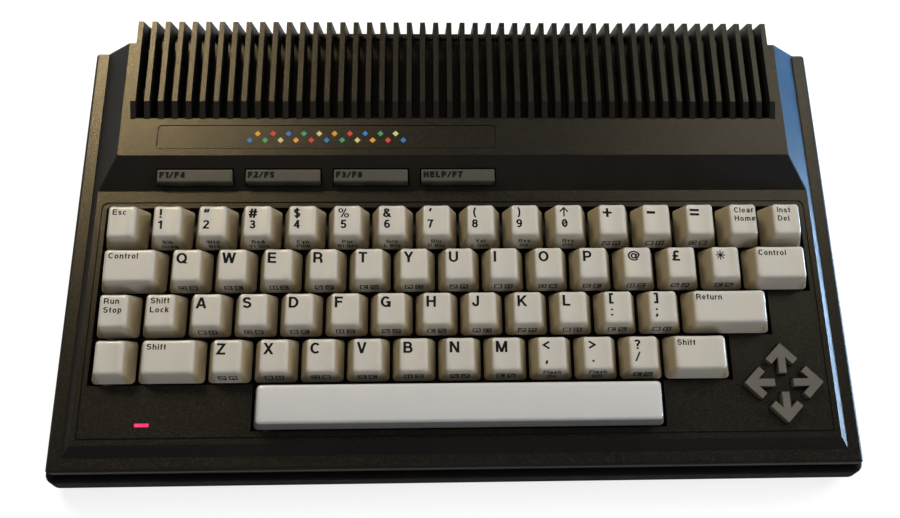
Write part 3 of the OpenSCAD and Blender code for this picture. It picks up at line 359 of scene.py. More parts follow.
BLUE = plastic("connector_blue", (0.02, 0.05, 0.13), (0.03, 0.07, 0.17), (0.35, 0.45), 1200)
RUBBER = plastic("foot_rubber", (0.012, 0.012, 0.012), (0.022, 0.021, 0.02), (0.7, 0.85), 1800,
                 0.0001, 0.2)
RIBBON = ribbon_material()

# What each CAD node is made of; the arrow keys and the rest are GREY
FINISH = {node: material for material, nodes in (
    (TRAY, "lower_case"),
    (CASE, "upper_case badge_plate"),
    (LED, "led_lens led_lamp"),
    (FRAME_BLACK, "keyboard_frame"),
    (BOARD, "keyboard_board main_board"),
    (RIBBON, "keyboard_cable"),
    (STEEL, "keyboard_screws case_screws board_screws"),
    (SPRING, "return_springs"),
    (SLEEVE, "capacitors"),
    (TIN, "rf_shield tv_modulator"),
    (BLUE, "expansion_connector"),
    (RUBBER, "rubber_feet"),
    (BLACK, "chips channel_switch power_socket din_sockets control_sockets"
            " power_switch_housing power_rocker reset_switch_housing"),
    (FUNCTION_GREY, "function_key_1 function_key_2 function_key_3 function_key_4"),
) for node in nodes.split()}


# ---------------- mesh helpers
def link(name, mesh, body, slot, *replaced):
    piece = bpy.data.objects.new(name, mesh)
    bpy.context.scene.collection.objects.link(piece)
    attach(piece, body)
    if replaced:
        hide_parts(*replaced)
    return piece


def mesh_of(bm, name, materials):
    mesh = bpy.data.meshes.new(name)
    for m in materials:
        mesh.materials.append(m)
    bm.to_mesh(mesh)
    bm.free()
    return mesh


def rounded_ring(left, right, front, back, r, nx, ny, nc=4):
    """Points of a rounded rectangle, anticlockwise from the front edge's left end: (x, y)."""
    r = max(0.01, min(r, (right - left) / 2 - 0.01, (back - front) / 2 - 0.01))
    out = []
    for (ax, ay), (bx, by), n in (
            ((left + r, front), (right - r, front), nx),
            ((right, front + r), (right, back - r), ny),
            ((right - r, back), (left + r, back), nx),
            ((left, back - r), (left, front + r), ny)):
        out += [(ax + (bx - ax) * i / n, ay + (by - ay) * i / n) for i in range(n)]
        # the corner after this side turns about a point on its left
        ux, uy = (bx > ax) - (bx < ax), (by > ay) - (by < ay)
        ox, oy = bx - uy * r, by + ux * r
        start = math.atan2(by - oy, bx - ox)
        out += [(ox + r * math.cos(start + math.pi / 2 * k / nc),
                 oy + r * math.sin(start + math.pi / 2 * k / nc)) for k in range(nc)]
    return out


class Cap:
    """The outer form of one keycap, in mm from the middle of its skirt."""

    def __init__(self, units, row):
        self.space = row == 4
        self.w = units * KEY - (SPACE_GAP if self.space else KEY_GAP)
        self.d = ROW - ROW_GAP
        self.h = KEY_H + ROW_RISE * (4 - row)
        self.side = 2.1 if self.space else SIDE_IN
        self.front = 1.4 if self.space else 2.5
        self.back = 1.2 if self.space else 1.9
        self.dish = 0.0 if self.space else 0.7
        self.xw = self.w / 2 - self.side
        self.y0 = -self.d / 2 + self.front
        self.y1 = self.d / 2 - self.back

    def top(self, x, y):
        """Height of the top face: it falls a little to the front, and is dished across."""
        t = min(1.0, max(0.0, (self.y1 - y) / (self.y1 - self.y0)))
        z = self.h - 0.5 * t
        if self.space:
            m = (self.y0 + self.y1) / 2
            return z - 0.3 * ((y - m) / (self.y1 - m)) ** 2
        return z - self.dish * max(0.0, 1 - (x / self.xw) ** 2)

    def flank(self, f):
        """How far in the walls are at a share f of the height: slightly convex."""
        return 0.06 * min(1, f * 6) + 0.94 * f ** 1.12

    def front_face(self, z):
        """y of the front wall at height z."""
        f = z / (self.h - 0.5 - self.dish)
        return -self.d / 2 + self.front * self.flank(f)


PROFILE = [0.0, 0.04, 0.12, 0.3, 0.5, 0.68, 0.82]
CORNER_LOW, CORNER_TOP = 1.9, 1.5
RIM = 1.15
RIM_ASIDE = 2.2
RIM_STEPS = 6
SHELL = 1.3


def cap_rings(bm, cap, painted_shade_layer):
    """The surface of a keycap: skirt, walls, rolled rim, dished top and the shell inside."""
    nx = max(6, round(cap.w / 2.4))
    ny = 7
    rings = []

    def ring(f, inset, sink, r):
        """Points at a share f of the height, or sunk below the top where sink is given."""
        a = cap.flank(f)
        aside = inset * RIM_ASIDE / RIM if sink is not None else inset
        pts = rounded_ring(-cap.w / 2 + cap.side * a + aside, cap.w / 2 - cap.side * a - aside,
                           -cap.d / 2 + cap.front * a + inset, cap.d / 2 - cap.back * a - inset,
                           r, nx, ny)
        out = []
        for x, y in pts:
            roof = cap.top(x, y)
            out.append((x, y, (roof - sink) if sink is not None else roof * f))
        return out

    def put(points, tones):
        row = []
        for point, tone in zip(points, tones):
            v = bm.verts.new(point)
            v[painted_shade_layer] = tone
            row.append(v)
        return row

    def shade_on_flanks(points, tone):
        """The painted flank shade and warm reflection show more at the sides than at the front and
        back; the space bar takes it evenly.
        """
        if cap.space:
            return [tone * 0.85] * len(points)
        return [tone * (0.12 + 0.88 * min(1.0, max(0.0, (abs(p[0]) - cap.xw + 0.6) / 1.2)))
                for p in points]

    # the walls take the full painted flank shade
    for f in PROFILE:
        rings.append((ring(f, 0, None, CORNER_LOW + (CORNER_TOP - CORNER_LOW) * f), 1.0))
    edge = 1 - RIM / cap.h
    for k in range(RIM_STEPS + 1):
        t = k / RIM_STEPS
        # quadratic curve from the wall, up to the rim, and in over the top
        f = edge + (1 - edge) * (1 - (1 - t) ** 2) if t < 1 else 1.0
        inset = RIM * 0.95 * t * t
        sink = RIM * (1 - t) ** 2
        # the rim takes a little painted flank shade, fading out before the top
        rings.append((ring(f, inset, sink, CORNER_TOP - 0.1 * t),
                      0.35 * (1 - min(1, t * 1.5))))
    base = rings[-1][0]
    cx, cy = 0.0, (cap.y0 + cap.y1) / 2
    for s in (0.86, 0.66, 0.45, 0.24):
        pts = [(cx + (x - cx) * s, cy + (y - cy) * s) for x, y, z in base]
        rings.append(([(x, y, cap.top(x, y)) for x, y in pts], 0.0))
    made = [put(pts, shade_on_flanks(pts, tone)) for pts, tone in rings]
    n = len(made[0])
    for a, b in zip(made, made[1:]):
        for i in range(n):
            j = (i + 1) % n
            bm.faces.new((a[i], a[j], b[j], b[i])).smooth = True
    middle = bm.verts.new((cx, cy, cap.top(cx, cy)))
    for i in range(n):
        bm.faces.new((made[-1][i], made[-1][(i + 1) % n], middle)).smooth = True
    # inside: a thin shell and a flat ceiling, which take the full painted flank shade
    inner = [put(ring(f, SHELL, None, 1.0), [1.0] * n) for f in (0.0, 0.45, 0.8)]
    for i in range(n):
        j = (i + 1) % n
        bm.faces.new((made[0][j], made[0][i], inner[0][i], inner[0][j]))
        for a, b in zip(inner, inner[1:]):
            bm.faces.new((a[j], a[i], b[i], b[j])).smooth = True
    bm.faces.new(list(reversed(inner[-1])))


def stem(bm, x, layer, top):
    """The square stem under a cap, with its four edges taken off."""
    w, c = STEM_W / 2, 0.5
    outline = [(x - w + c, -w), (x + w - c, -w), (x + w, -w + c), (x + w, w - c),
               (x + w - c, w), (x - w + c, w), (x - w, w - c), (x - w, -w + c)]
    low, high = [[bm.verts.new((px, py, z)) for px, py in outline] for z in (STEM_LOW, top)]
    # the stem takes the full painted flank shade
    for v in low + high:
        v[layer] = 1.0
    bm.faces.new(list(reversed(low)))
    bm.faces.new(high)
    for i in range(8):
        j = (i + 1) % 8
        bm.faces.new((low[i], low[j], high[j], high[i]))


# ---------------- lettering
def arc(cx, cy, rx, ry, a0, a1):
    """Points of an elliptical arc, angles in degrees."""
    n = max(3, math.ceil(abs(a1 - a0) / 20))
    return [(cx + rx * math.cos(math.radians(a0 + (a1 - a0) * i / n)),
             cy + ry * math.sin(math.radians(a0 + (a1 - a0) * i / n))) for i in range(n + 1)]


def capitals(t):
    """Plain grotesque capitals as centre lines: sign -> (width, lines), 1 high, stroke t."""
    h = t / 2
    b, u, m = h, 1 - h, 0.52
    stem = [(h, 0), (h, 1)]

    def o(w):
        return arc(w / 2, 0.5, w / 2 - h, 0.5 - h, 90, 450)

    def r_bowl(r, low):
        x = 0.36
        bowl = arc(x, (u + low) / 2, r - h - x, (u - low) / 2, 90, -90)
        return [(h, u), (x, u)] + bowl + [(h, low)]

    s_line = (arc(0.32, (u + m) / 2, 0.31 - h, (u - m) / 2, 20, 270)
              + arc(0.32, (m + b) / 2, 0.32 - h, (m - b) / 2, 90, -160)[1:])
    return {
        "A": (0.72, [[(h * 0.8 - 0.03, -0.1), (0.36, 1.06), (0.75 - h * 0.8, -0.1)],
                     [(0.18, 0.29), (0.54, 0.29)]]),
        "B": (0.67, [stem,
                     [(h, u), (0.37, u)] + arc(0.37, (u + m) / 2, 0.24 - h, (u - m) / 2, 90, -90)
                     + [(h, m)],
                     [(0.3, m), (0.39, m)] + arc(0.39, (m + b) / 2, 0.28 - h, (m - b) / 2, 90, -90)
                     + [(h, b)]]),
        "C": (0.7, [arc(0.37, 0.5, 0.37 - h, 0.5 - h, 42, 318)]),
        "D": (0.7, [stem,
                    [(h, u), (0.3, u)] + arc(0.3, 0.5, 0.4 - h, 0.5 - h, 90, -90) + [(h, b)]]),
        "E": (0.61, [stem, [(h, u), (0.6, u)], [(h, m), (0.57, m)], [(h, b), (0.61, b)]]),
        "F": (0.58, [stem, [(h, u), (0.58, u)], [(h, m), (0.53, m)]]),
        "G": (0.73, [arc(0.37, 0.5, 0.37 - h, 0.5 - h, 42, 340),
                     [(0.4, 0.46), (0.73 - h, 0.46), (0.73 - h, 0.02)]]),
        "H": (0.69, [stem, [(0.69 - h, 0), (0.69 - h, 1)], [(h, m), (0.69 - h, m)]]),
        "I": (t, [stem]),
        "J": (0.52, [[(0.52 - h, 1), (0.52 - h, 0.3)] + arc(0.26, 0.29, 0.26 - h, 0.29 - h, 0, -180)
                     + [(h, 0.36)]]),
        "K": (0.7, [stem, [(h, 0.32), (0.66, 1.06)], [(0.27, 0.55), (0.68, -0.08)]]),
        "L": (0.56, [stem, [(h, b), (0.56, b)]]),
        "M": (0.84, [stem, [(0.84 - h, 0), (0.84 - h, 1)],
                     [(h, 1.05), (0.42, 0.02), (0.84 - h, 1.05)]]),
        "N": (0.7, [stem, [(0.7 - h, 0), (0.7 - h, 1)], [(h * 0.9, 1.04), (0.7 - h * 0.9, -0.04)]]),
        "O": (0.77, [o(0.77)]),
        "P": (0.65, [stem, r_bowl(0.65, 0.42)]),
        "Q": (0.77, [o(0.77), [(0.44, 0.26), (0.76, -0.02)]]),
        "R": (0.69, [stem, r_bowl(0.66, 0.44),
                     [(0.38, 0.44), (0.5, 0.42), (0.58, 0.3), (0.6, -0.02)]]),
        "S": (0.64, [s_line]),
        "T": (0.62, [[(0.31, 0), (0.31, 1)], [(0, u), (0.62, u)]]),
        "U": (0.69, [[(h, 1), (h, 0.36)] + arc(0.345, 0.36, 0.345 - h, 0.36 - h, 180, 360)
                     + [(0.69 - h, 1)]]),
        "V": (0.68, [[(h - 0.03, 1.1), (0.34, -0.03), (0.71 - h, 1.1)]]),
        "W": (0.98, [[(h - 0.03, 1.1), (0.27, -0.02), (0.49, 1.02), (0.71, -0.02),
                      (1.01 - h, 1.1)]]),
        "X": (0.7, [[(h - 0.05, 1.1), (0.75 - h, -0.1)], [(0.74 - h, 1.1), (h - 0.05, -0.1)]]),
        "Y": (0.7, [[(h - 0.05, 1.1), (0.35, 0.42), (0.75 - h, 1.1)], [(0.35, 0), (0.35, 0.46)]]),
        "Z": (0.63, [[(0.02, u), (0.52, u), (0.09, b), (0.63, b)]]),
        "0": (0.56, [o(0.56), [(0.17, 0.24), (0.39, 0.76)]]),
        "1": (0.4, [[(0.29, 0), (0.29, 1)], [(0.02, 0.76), (0.18, 0.79), (0.29, 0.98)]]),
        "2": (0.56, [arc(0.28, u - 0.27 + h, 0.28 - h, 0.27 - h * 0.6, 170, -35)
                     + [(0.1, b), (0.56, b)]]),
        "3": (0.56, [arc(0.27, (u + m) / 2, 0.25 - h, (u - m) / 2, 165, -90)
                     + arc(0.28, (m + b) / 2, 0.28 - h, (m - b) / 2, 90, -165)[1:]]),
        "4": (0.57, [[(0.42, 0), (0.42, 1)], [(0.4, 0.97), (0.13, 0.3), (0.57, 0.3)]]),
        "5": (0.56, [[(0.51, u), (0.16, u), (0.11, 0.45)],
                     arc(0.27, 0.33, 0.29 - h, 0.33 - h, 140, -155)]),
        "6": (0.56, [arc(0.28, 0.32, 0.28 - h, 0.32 - h, 90, 450),
                     [(h, 0.34)] + arc(0.31, 0.52, 0.31 - h, 0.48 - h, 180, 52)]),
        "7": (0.56, [[(0, u), (0.46, u), (0.33, 0.62), (0.19, -0.02)]]),
        "8": (0.56, [arc(0.28, (u + m) / 2, 0.26 - h, (u - m) / 2, 90, 450),
                     arc(0.28, (m + b) / 2, 0.28 - h, (m - b) / 2, 90, 450)]),
        "9": (0.56, [arc(0.28, 0.68, 0.28 - h, 0.32 - h, 90, 450),
                     [(0.56 - h, 0.66)] + arc(0.25, 0.48, 0.31 - h, 0.48 - h, 0, -128)]),
        "!": (t, [[(h, 0.3), (h, 1)], [(h, 0), (h, t)]]),
        '"': (0.46, [[(0.07, 0.6), (0.18, 1.05)], [(0.29, 0.6), (0.4, 1.05)]]),
        "#": (0.74, [[(0.17, -0.02), (0.29, 1.02)], [(0.45, -0.02), (0.57, 1.02)],
                     [(0.0, 0.33), (0.7, 0.33)], [(0.04, 0.67), (0.74, 0.67)]]),
        "$": (0.58, [[(0.3, -0.1), (0.3, 1.1)], [(0.03 + x * 0.84, y) for x, y in s_line]]),
        "%": (0.92, [arc(0.21, 0.77, 0.16, 0.19, 90, 450), arc(0.71, 0.23, 0.16, 0.19, 90, 450),
                     [(0.24, -0.04), (0.68, 1.04)]]),
        "&": (0.7, [[(0.66, 0.0), (0.2, 0.64)] + arc(0.32, 0.78, 0.16, 0.22 - h, 205, -50)
                    + [(0.16, 0.44)] + arc(0.28, 0.26, 0.28 - h, 0.26 - h, 150, 320)
                    + [(0.6, 0.42)]]),
        "'": (0.2, [[(0.04, 0.64), (0.16, 1.05)]]),
        "(": (0.3, [arc(0.4, 0.5, 0.4 - h, 0.66, 122, 238)]),
        ")": (0.3, [arc(-0.1, 0.5, 0.4 - h, 0.66, 58, -58)]),
        "@": (1.0, [arc(0.5, 0.5, 0.5 - h, 0.5 - h, 315, 15)
                    + [(0.78, 0.36), (0.7, 0.3), (0.64, 0.4), (0.7, 0.7)],
                    arc(0.48, 0.49, 0.17, 0.2, 90, 450)]),
        "£": (0.64, [arc(0.38, 0.74, 0.25 - h, 0.26 - h, 20, 190)
                     + [(0.26, 0.45), (0.22, 0.25), (0.1, 0.1)],
                     [(0.04, b), (0.64, b)], [(0.06, 0.46), (0.5, 0.46)]]),
        "[": (0.34, [[(0.34, u), (h, u), (h, b), (0.34, b)]]),
        "]": (0.34, [[(0, u), (0.34 - h, u), (0.34 - h, b), (0, b)]]),
        ":": (t, [[(h, 0), (h, t)], [(h, 0.56), (h, 0.56 + t)]]),
        ";": (t, [[(h, t), (h, 0), (0, -0.16)], [(h, 0.56), (h, 0.56 + t)]]),
        ",": (t, [[(h, t), (h, 0), (0, -0.18)]]),
        ".": (t, [[(h, 0), (h, t)]]),
        "<": (0.56, [[(0.54, 0.86), (0.05, 0.5), (0.54, 0.14)]]),
        ">": (0.56, [[(0.02, 0.86), (0.51, 0.5), (0.02, 0.14)]]),
        "?": (0.54, [arc(0.27, 0.75, 0.27 - h, 0.25 - h, 170, -50) + [(0.27, 0.44), (0.27, 0.28)],
                     [(0.27, 0), (0.27, t)]]),
        "/": (0.46, [[(0.0, -0.06), (0.44, 1.06)]]),
        "+": (0.76, [[(0, 0.5), (0.76, 0.5)], [(0.38, 0.04), (0.38, 0.96)]]),
        "-": (0.72, [[(0, 0.5), (0.72, 0.5)]]),
        "=": (0.78, [[(0, 0.27), (0.78, 0.27)], [(0, 0.73), (0.78, 0.73)]]),
    }


def small_letters(t):
    """The small letters that the words use, on the same scale as the capitals."""
    h = t / 2
    b, x = h, 0.74
    top = x - h
    mid = x / 2
    stem = [(h, 0), (h, x)]
    tall = [(h, 0), (h, 1)]
    bowl = arc(0.28, mid, 0.28 - h, mid - h, 90, 450)

    def arch(x0, x1):
        return arc((x0 + x1) / 2, top - 0.2, (x1 - x0) / 2, 0.2, 180, 0) + [(x1, 0)]

    return {
        "a": (0.52, [arc(0.25, top - 0.17, 0.25 - h, 0.17, 165, 0)
                     + [(0.5 - h, 0.1), (0.54 - h, 0)],
                     [(0.5 - h, 0.42), (0.26, 0.38)] + arc(0.22, 0.22, 0.22 - h, 0.22 - h, 100, 300)
                     + [(0.5 - h, 0.2)]]),
        "c": (0.5, [arc(0.28, mid, 0.28 - h, mid - h, 48, 312)]),
        "d": (0.56, [bowl, [(0.56 - h, 0), (0.56 - h, 1)]]),
        "e": (0.55, [arc(0.275, mid, 0.275 - h, mid - h, 0, 318),
                     [(h, mid - 0.03), (0.55 - h, mid - 0.03)]]),
        "f": (0.32, [[(0.14, 0), (0.14, 0.82)] + arc(0.3, 0.8, 0.16, 0.2 - h, 180, 95),
                     [(0, x - h), (0.3, x - h)]]),
        "g": (0.56, [bowl, [(0.56 - h, x), (0.56 - h, -0.06)]
                     + arc(0.28, -0.06, 0.28 - h, 0.18, 0, -160)]),
        "h": (0.54, [tall, arch(h, 0.54 - h)]),
        "i": (t, [stem, [(h, 1 - t), (h, 1)]]),
        "k": (0.52, [tall, [(h, 0.28), (0.48, 0.78)], [(0.22, 0.42), (0.5, -0.02)]]),
        "l": (t, [tall]),
        "m": (0.82, [stem, arch(h, 0.41), arch(0.41, 0.82 - h)]),
        "n": (0.54, [stem, arch(h, 0.54 - h)]),
        "o": (0.56, [bowl]),
        "p": (0.56, [[(h, -0.27), (h, x)], bowl]),
        "r": (0.34, [stem, arc(0.32, top - 0.22, 0.32 - h, 0.22, 180, 88)]),
        "s": (0.5, [arc(0.25, (top + mid) / 2, 0.24 - h, (top - mid) / 2, 20, 270)
                    + arc(0.25, (mid + b) / 2, 0.25 - h, (mid - b) / 2, 90, -160)[1:]]),
        "t": (0.32, [[(0.14, 0.94), (0.14, 0.18)] + arc(0.28, 0.18, 0.14, 0.18 - h, 180, 265),
                     [(0, x - h), (0.3, x - h)]]),
        "u": (0.54, [[(0.54 - h, 0), (0.54 - h, x)], [(h, x), (h, 0.28)]
                     + arc(0.27, 0.28, 0.27 - h, 0.28 - h, 180, 360)]),
        "v": (0.5, [[(h - 0.02, x), (0.25, 0.02), (0.52 - h, x)]]),
        "y": (0.5, [[(h - 0.02, x), (0.26, 0.05)], [(0.52 - h, x), (0.2, -0.2), (0.06, -0.2)]]),
    }


def ribbon(points, t, closed=False):
    """Quads of a line of width t with mitred joints, parted at its sharp turns: (verts, faces)."""
    points = [p for i, p in enumerate(points) if i == 0 or math.dist(p, points[i - 1]) > 1e-5]
    n = len(points)

    def way(i, j):
        (ax, ay), (bx, by) = points[i % n], points[j % n]
        d = math.hypot(bx - ax, by - ay)
        return (bx - ax) / d, (by - ay) / d

    if not closed:
        for i in range(1, n - 1):
            (ux, uy), (vx, vy) = way(i - 1, i), way(i, i + 1)
            if ux * vx + uy * vy < -0.55:
                x, y = points[i]
                return joined(ribbon(points[:i] + [(x + ux * t / 2, y + uy * t / 2)], t),
                              ribbon([(x - vx * t / 2, y - vy * t / 2)] + points[i + 1:], t))
    verts = []
    for i, (x, y) in enumerate(points):
        ways = [way(*j) for j in ((i - 1, i), (i, i + 1)) if closed or (j[0] >= 0 and j[1] < n)]
        nx = -sum(v[1] for v in ways) / len(ways)
        ny = sum(v[0] for v in ways) / len(ways)
        k = t / 2 / (nx * nx + ny * ny)
        verts += [(x + nx * k, y + ny * k), (x - nx * k, y - ny * k)]
    faces = [(2 * i, 2 * i + 1, (2 * i + 3) % (2 * n), (2 * i + 2) % (2 * n))
             for i in range(n if closed else n - 1)]
    return verts, faces


def union(shape):
    """One flat sheet of triangles for overlapping faces."""
    verts, faces = shape
    got = delaunay_2d_cdt([Vector(v) for v in verts], [], [list(f) for f in faces], 1, 1e-4, True)
    return [(v[0], v[1]) for v in got[0]], [tuple(f) for f, source in zip(got[2], got[5]) if source]


def trimmed(shape, low, high):
    """The part of a flat shape between two heights."""
    part = bmesh.new()
    vs = [part.verts.new((x, y, 0)) for x, y in shape[0]]
    for f in shape[1]:
        part.faces.new([vs[i] for i in f])
    for y, way in ((low, -1), (high, 1)):
        bmesh.ops.bisect_plane(part, geom=part.verts[:] + part.edges[:] + part.faces[:], dist=1e-6,
                               plane_co=(0, y, 0), plane_no=(0, way, 0), clear_outer=True)
    part.verts.index_update()
    verts = [(v.co.x, v.co.y) for v in part.verts]
    faces = [tuple(v.index for v in f.verts) for f in part.faces]
    part.free()
    return verts, faces


GLYPHS = {}
# signs that pass the foot line or the cap line, and how bold some signs are
LOOSE = "$(),;gpy@#"
FINE = {"%": 0.65, "@": 0.7, "$": 0.9, "&": 1.0, "#": 1.05, "(": 0.85, ")": 0.85, "/": 0.75,
        "+": 1.15, "-": 1.5, "=": 1.3}


def letters(text, height, t=0.185, gap=0.13, wide=1.22):
    """A line of text `height` mm high, its left edge at 0 and its foot at 0."""
    if t not in GLYPHS:
        GLYPHS[t] = {**capitals(t), **small_letters(t)}
    x = 0.0
    parts = []
    for sign in text:
        if sign == " ":
            x += 0.3
            continue
        if (t, sign) not in GLYPHS:
            width, lines = GLYPHS[t][sign]
            fine = FINE.get(sign, 1)
            # the bar inside "0" and "e" is thinner than the bowl
            raw = joined(*[bar(line, t * (0.55 if k and sign in "0e" else fine))
                           for k, line in enumerate(lines)])
            low, high = (-0.4, 1.2) if sign in LOOSE else (0, 1)
            GLYPHS[t, sign] = (width, trimmed(union(raw), low, high))
        width, shape = GLYPHS[t, sign]
        parts.append(moved(shape, x, 0))
        x += width + gap
    return moved(joined(*parts), 0, 0, height * wide, height)


def bar(points, t):
    """A line of width t with square ends, or a closed one where its ends meet."""
    closed = math.dist(points[0], points[-1]) < 1e-6
    return ribbon(points[:-1] if closed else points, t, closed)


def joined(*parts):
    verts, faces = [], []
    for vs, fs in parts:
        k = len(verts)
        verts += vs
        faces += [tuple(i + k for i in f) for f in fs]
    return verts, faces


def moved(shape, dx, dy, sx=1.0, sy=1.0):
    verts, faces = shape
    return [(x * sx + dx, y * sy + dy) for x, y in verts], faces


def width_of(shape):
    return max(x for x, y in shape[0])


def arrow_up(h, t):
    w = h * 0.44
    return union(joined(bar([(w, 0), (w, h * 0.98)], t),
                        bar([(0, h * 0.56), (w, h), (2 * w, h * 0.56)], t)))


def star(h, t):
    c = h / 2
    return union(joined(*[bar([(c - c * math.cos(a), c - c * math.sin(a)),
                               (c + c * math.cos(a), c + c * math.sin(a))], t)
                          for a in (0, math.pi / 4, math.pi / 2, 3 * math.pi / 4)]))


def box_mark(kind, w, h, t):
    """A small framed sign with one of eight plain patterns in it."""
    edge = bar([(0, 0), (w, 0), (w, h), (0, h), (0, 0)], t)
    patterns = [
        [bar([(0, h / 2), (w, h / 2)], t)],
        [bar([(w / 2, 0), (w / 2, h)], t)],
        [bar([(0, 0), (w, h)], t)],
        [bar([(w / 2, h / 2), (w, h / 2)], t * 2.4)],
        [bar([(w * 0.3, h * 0.3), (w * 0.7, h * 0.3)], t * 2)],
        [bar([(0, h), (w, 0)], t)],
        [],
        [bar([(w / 4, h / 2), (w * 0.75, h / 2)], t * 2.8)],
    ]
    return union(joined(edge, *patterns[kind % len(patterns)]))


def lay(bm, shape, place, material, step=0.8):
    """Adds a flat shape, cut into strips along x, at the points that place(x, y) gives."""
    part = bmesh.new()
    vs = [part.verts.new((x, y, 0)) for x, y in shape[0]]
    for f in shape[1]:
        part.faces.new([vs[i] for i in f])
    xs = [x for x, y in shape[0]]
    x = math.floor(min(xs) / step) * step + step
    while x < max(xs):
        bmesh.ops.bisect_plane(part, geom=part.verts[:] + part.edges[:] + part.faces[:],
                               plane_co=(x, 0, 0), plane_no=(1, 0, 0), dist=1e-5)
        x += step
    laid = {v: bm.verts.new(place(v.co.x, v.co.y)) for v in part.verts}
    for f in part.faces:
        bm.faces.new([laid[v] for v in f.verts]).material_index = material
    part.free()


INK_LIFT = 0.03
FRONT_INK_LIFT = 0.1


def legend_on_top(bm, cap, shape, left, top):
    """Legend on the dished top: left and top are its distance in from the top face's edges."""
    x0 = -cap.xw + left
    y0 = cap.y1 - top

    def place(x, y):
        return (x0 + x, y0 + y, cap.top(x0 + x, y0 + y) + INK_LIFT)
    lay(bm, shape, place, 1)


def legend_on_front(bm, cap, shape, x0, z0):
    """Small grey marks on the front wall, x from the middle and z up from the skirt."""
    def place(x, y):
        return (x0 + x, cap.front_face(z0 + y) - FRONT_INK_LIFT, z0 + y)
    lay(bm, shape, place, 2)


def build_cap(bm, layer, units, row, stems=(0,)):
    cap = Cap(units, row)
    cap_rings(bm, cap, layer)
    for x in stems:
        stem(bm, x, layer, cap.h - 2.4)
    return cap


def place_key(bm, verts_before, first, units, row):
    """Moves what was added since verts_before from the key's own frame to the part's."""
    cx = key_x(first + units / 2)
    cs = row_s(row)
    bm.verts.ensure_lookup_table()
    for v in bm.verts[verts_before:]:
        v.co = LEDGE @ Vector((v.co.x + cx, v.co.y + cs, v.co.z + CAP_N))


# Heights of the letters, digits, signs, words and small words, and of the square brackets,
# the arithmetic signs, the star and the framed signs
BIG, DIGIT, SIGN, WORD, SMALL = 4.65, 3.75, 4.0, 2.4, 2.6
BRACKET, ARITHMETIC, STAR, BOX = 4.6, 4.3, 4.2, 2.9


def put_pair(bm, cap, up, down, down_height):
    """One sign over another, on a common middle line."""
    wide = max(width_of(up), width_of(down), 2.0)
    for shape, top in ((up, 1.3 + SIGN), (down, 2.4 + SIGN + down_height)):
        legend_on_top(bm, cap, moved(shape, (wide - width_of(shape)) / 2, 0), 1.7, top)


def front_words(bm, cap, *words):
    for word, z in zip(words, (5.7, 2.2)):
        shape = letters(word, SMALL, 0.18, 0.14, 1.0)
        legend_on_front(bm, cap, moved(shape, -width_of(shape) / 2, 0), 0, z)


def front_boxes(bm, cap, seed):
    for kind, x in ((seed, -3.7), (seed * 5 + 3, 0.8)):
        legend_on_front(bm, cap, box_mark(kind, BOX, BOX, 0.52), x, 3.1)


NUMBER_ROW = [
    ("!", "1", "Blk", "Orng"), ('"', "2", "Wht", "Brn"), ("#", "3", "Red", "Yl Grn"),
    ("$", "4", "Cyn", "Pink"), ("%", "5", "Pur", "Bl Grn"), ("&", "6", "Grn", "L Blu"),
    ("'", "7", "Blu", "D Blu"), ("(", "8", "Yel", "L Grn"), (")", "9", "Rvs", "On"),
    ("up", "0", "Rvs", "Off"), ("+", None), ("-", None), ("=", None),
]
LETTER_ROWS = {1: "QWERTYUIOP@£*", 2: "ASDFGHJKL", 3: "ZXCVBNM"}
PAIR_KEYS = {(2, 9): ("[", ":"), (2, 10): ("]", ";"), (3, 7): ("<", ","), (3, 8): (">", "."),
             (3, 9): ("?", "/")}
FLASH = {(3, 7): ("Flash", "On"), (3, 8): ("Flash", "Off")}
# Where the single keys of each row start, in units, and how many there are
ROW_FIRST = [1, 1.5, 2, 2.5]
ROW_COUNT = [13, 13, 11, 10]
COLUMNS = 13


def rows_of(column):
    return [row for row in range(4) if column < ROW_COUNT[row]]


def draw_legend(bm, cap, row, i):
    if row == 0:
        upper, lower, *words = NUMBER_ROW[i]
        if lower:
            up = arrow_up(SIGN, 0.62) if upper == "up" else letters(upper, SIGN)
            put_pair(bm, cap, up, letters(lower, DIGIT), DIGIT)
            front_words(bm, cap, *words)
        else:
            shape = letters(upper, ARITHMETIC)
            legend_on_top(bm, cap, shape, 3.2 - width_of(shape) / 2, 3.6 + ARITHMETIC / 2)
            front_boxes(bm, cap, 11 + i)
    elif (row, i) in PAIR_KEYS:
        upper, lower = PAIR_KEYS[row, i]
        put_pair(bm, cap, letters(upper, BRACKET if upper in "[]" else SIGN),
                 letters(lower, SIGN), SIGN)
        if (row, i) in FLASH:
            front_words(bm, cap, *FLASH[row, i])
        else:
            front_boxes(bm, cap, 3 * i)
    else:
        sign = LETTER_ROWS[row][i]
        if sign == "*":
            legend_on_top(bm, cap, star(STAR, 0.44), 1.2, 1.5 + STAR)
        else:
            legend_on_top(bm, cap, letters(sign, BIG), 1.2, 1.4 + BIG)
        front_boxes(bm, cap, row * 7 + i)


# The words on the special keys, and each key's place: first unit, width in units, row
WORDS = {
    "key_esc": ("Esc",), "key_clear_home": ("Clear", "Home"), "key_inst_del": ("Inst", "Del"),
    "key_control_left": ("Control",), "key_control_right": ("Control",),
    "key_run_stop": ("Run", "Stop"), "key_shift_lock": ("Shift", "Lock"), "key_corner": (),
    "key_shift_left": ("Shift",), "key_shift_right": ("Shift",), "key_return": ("Return",),
}
SPECIAL = {
    "key_esc": (0, 1, 0), "key_clear_home": (14, 1, 0), "key_inst_del": (15, 1, 0),
    "key_control_left": (0, 1.5, 1), "key_control_right": (14.5, 1.5, 1),
    "key_run_stop": (0, 1, 2), "key_shift_lock": (1, 1, 2), "key_return": (13, 2, 2),
    "key_corner": (0, 1, 3), "key_shift_left": (1, 1.5, 3), "key_shift_right": (12.5, 1.5, 3),
}
SPACE_FIRST, SPACE_UNITS = 3.5, 9
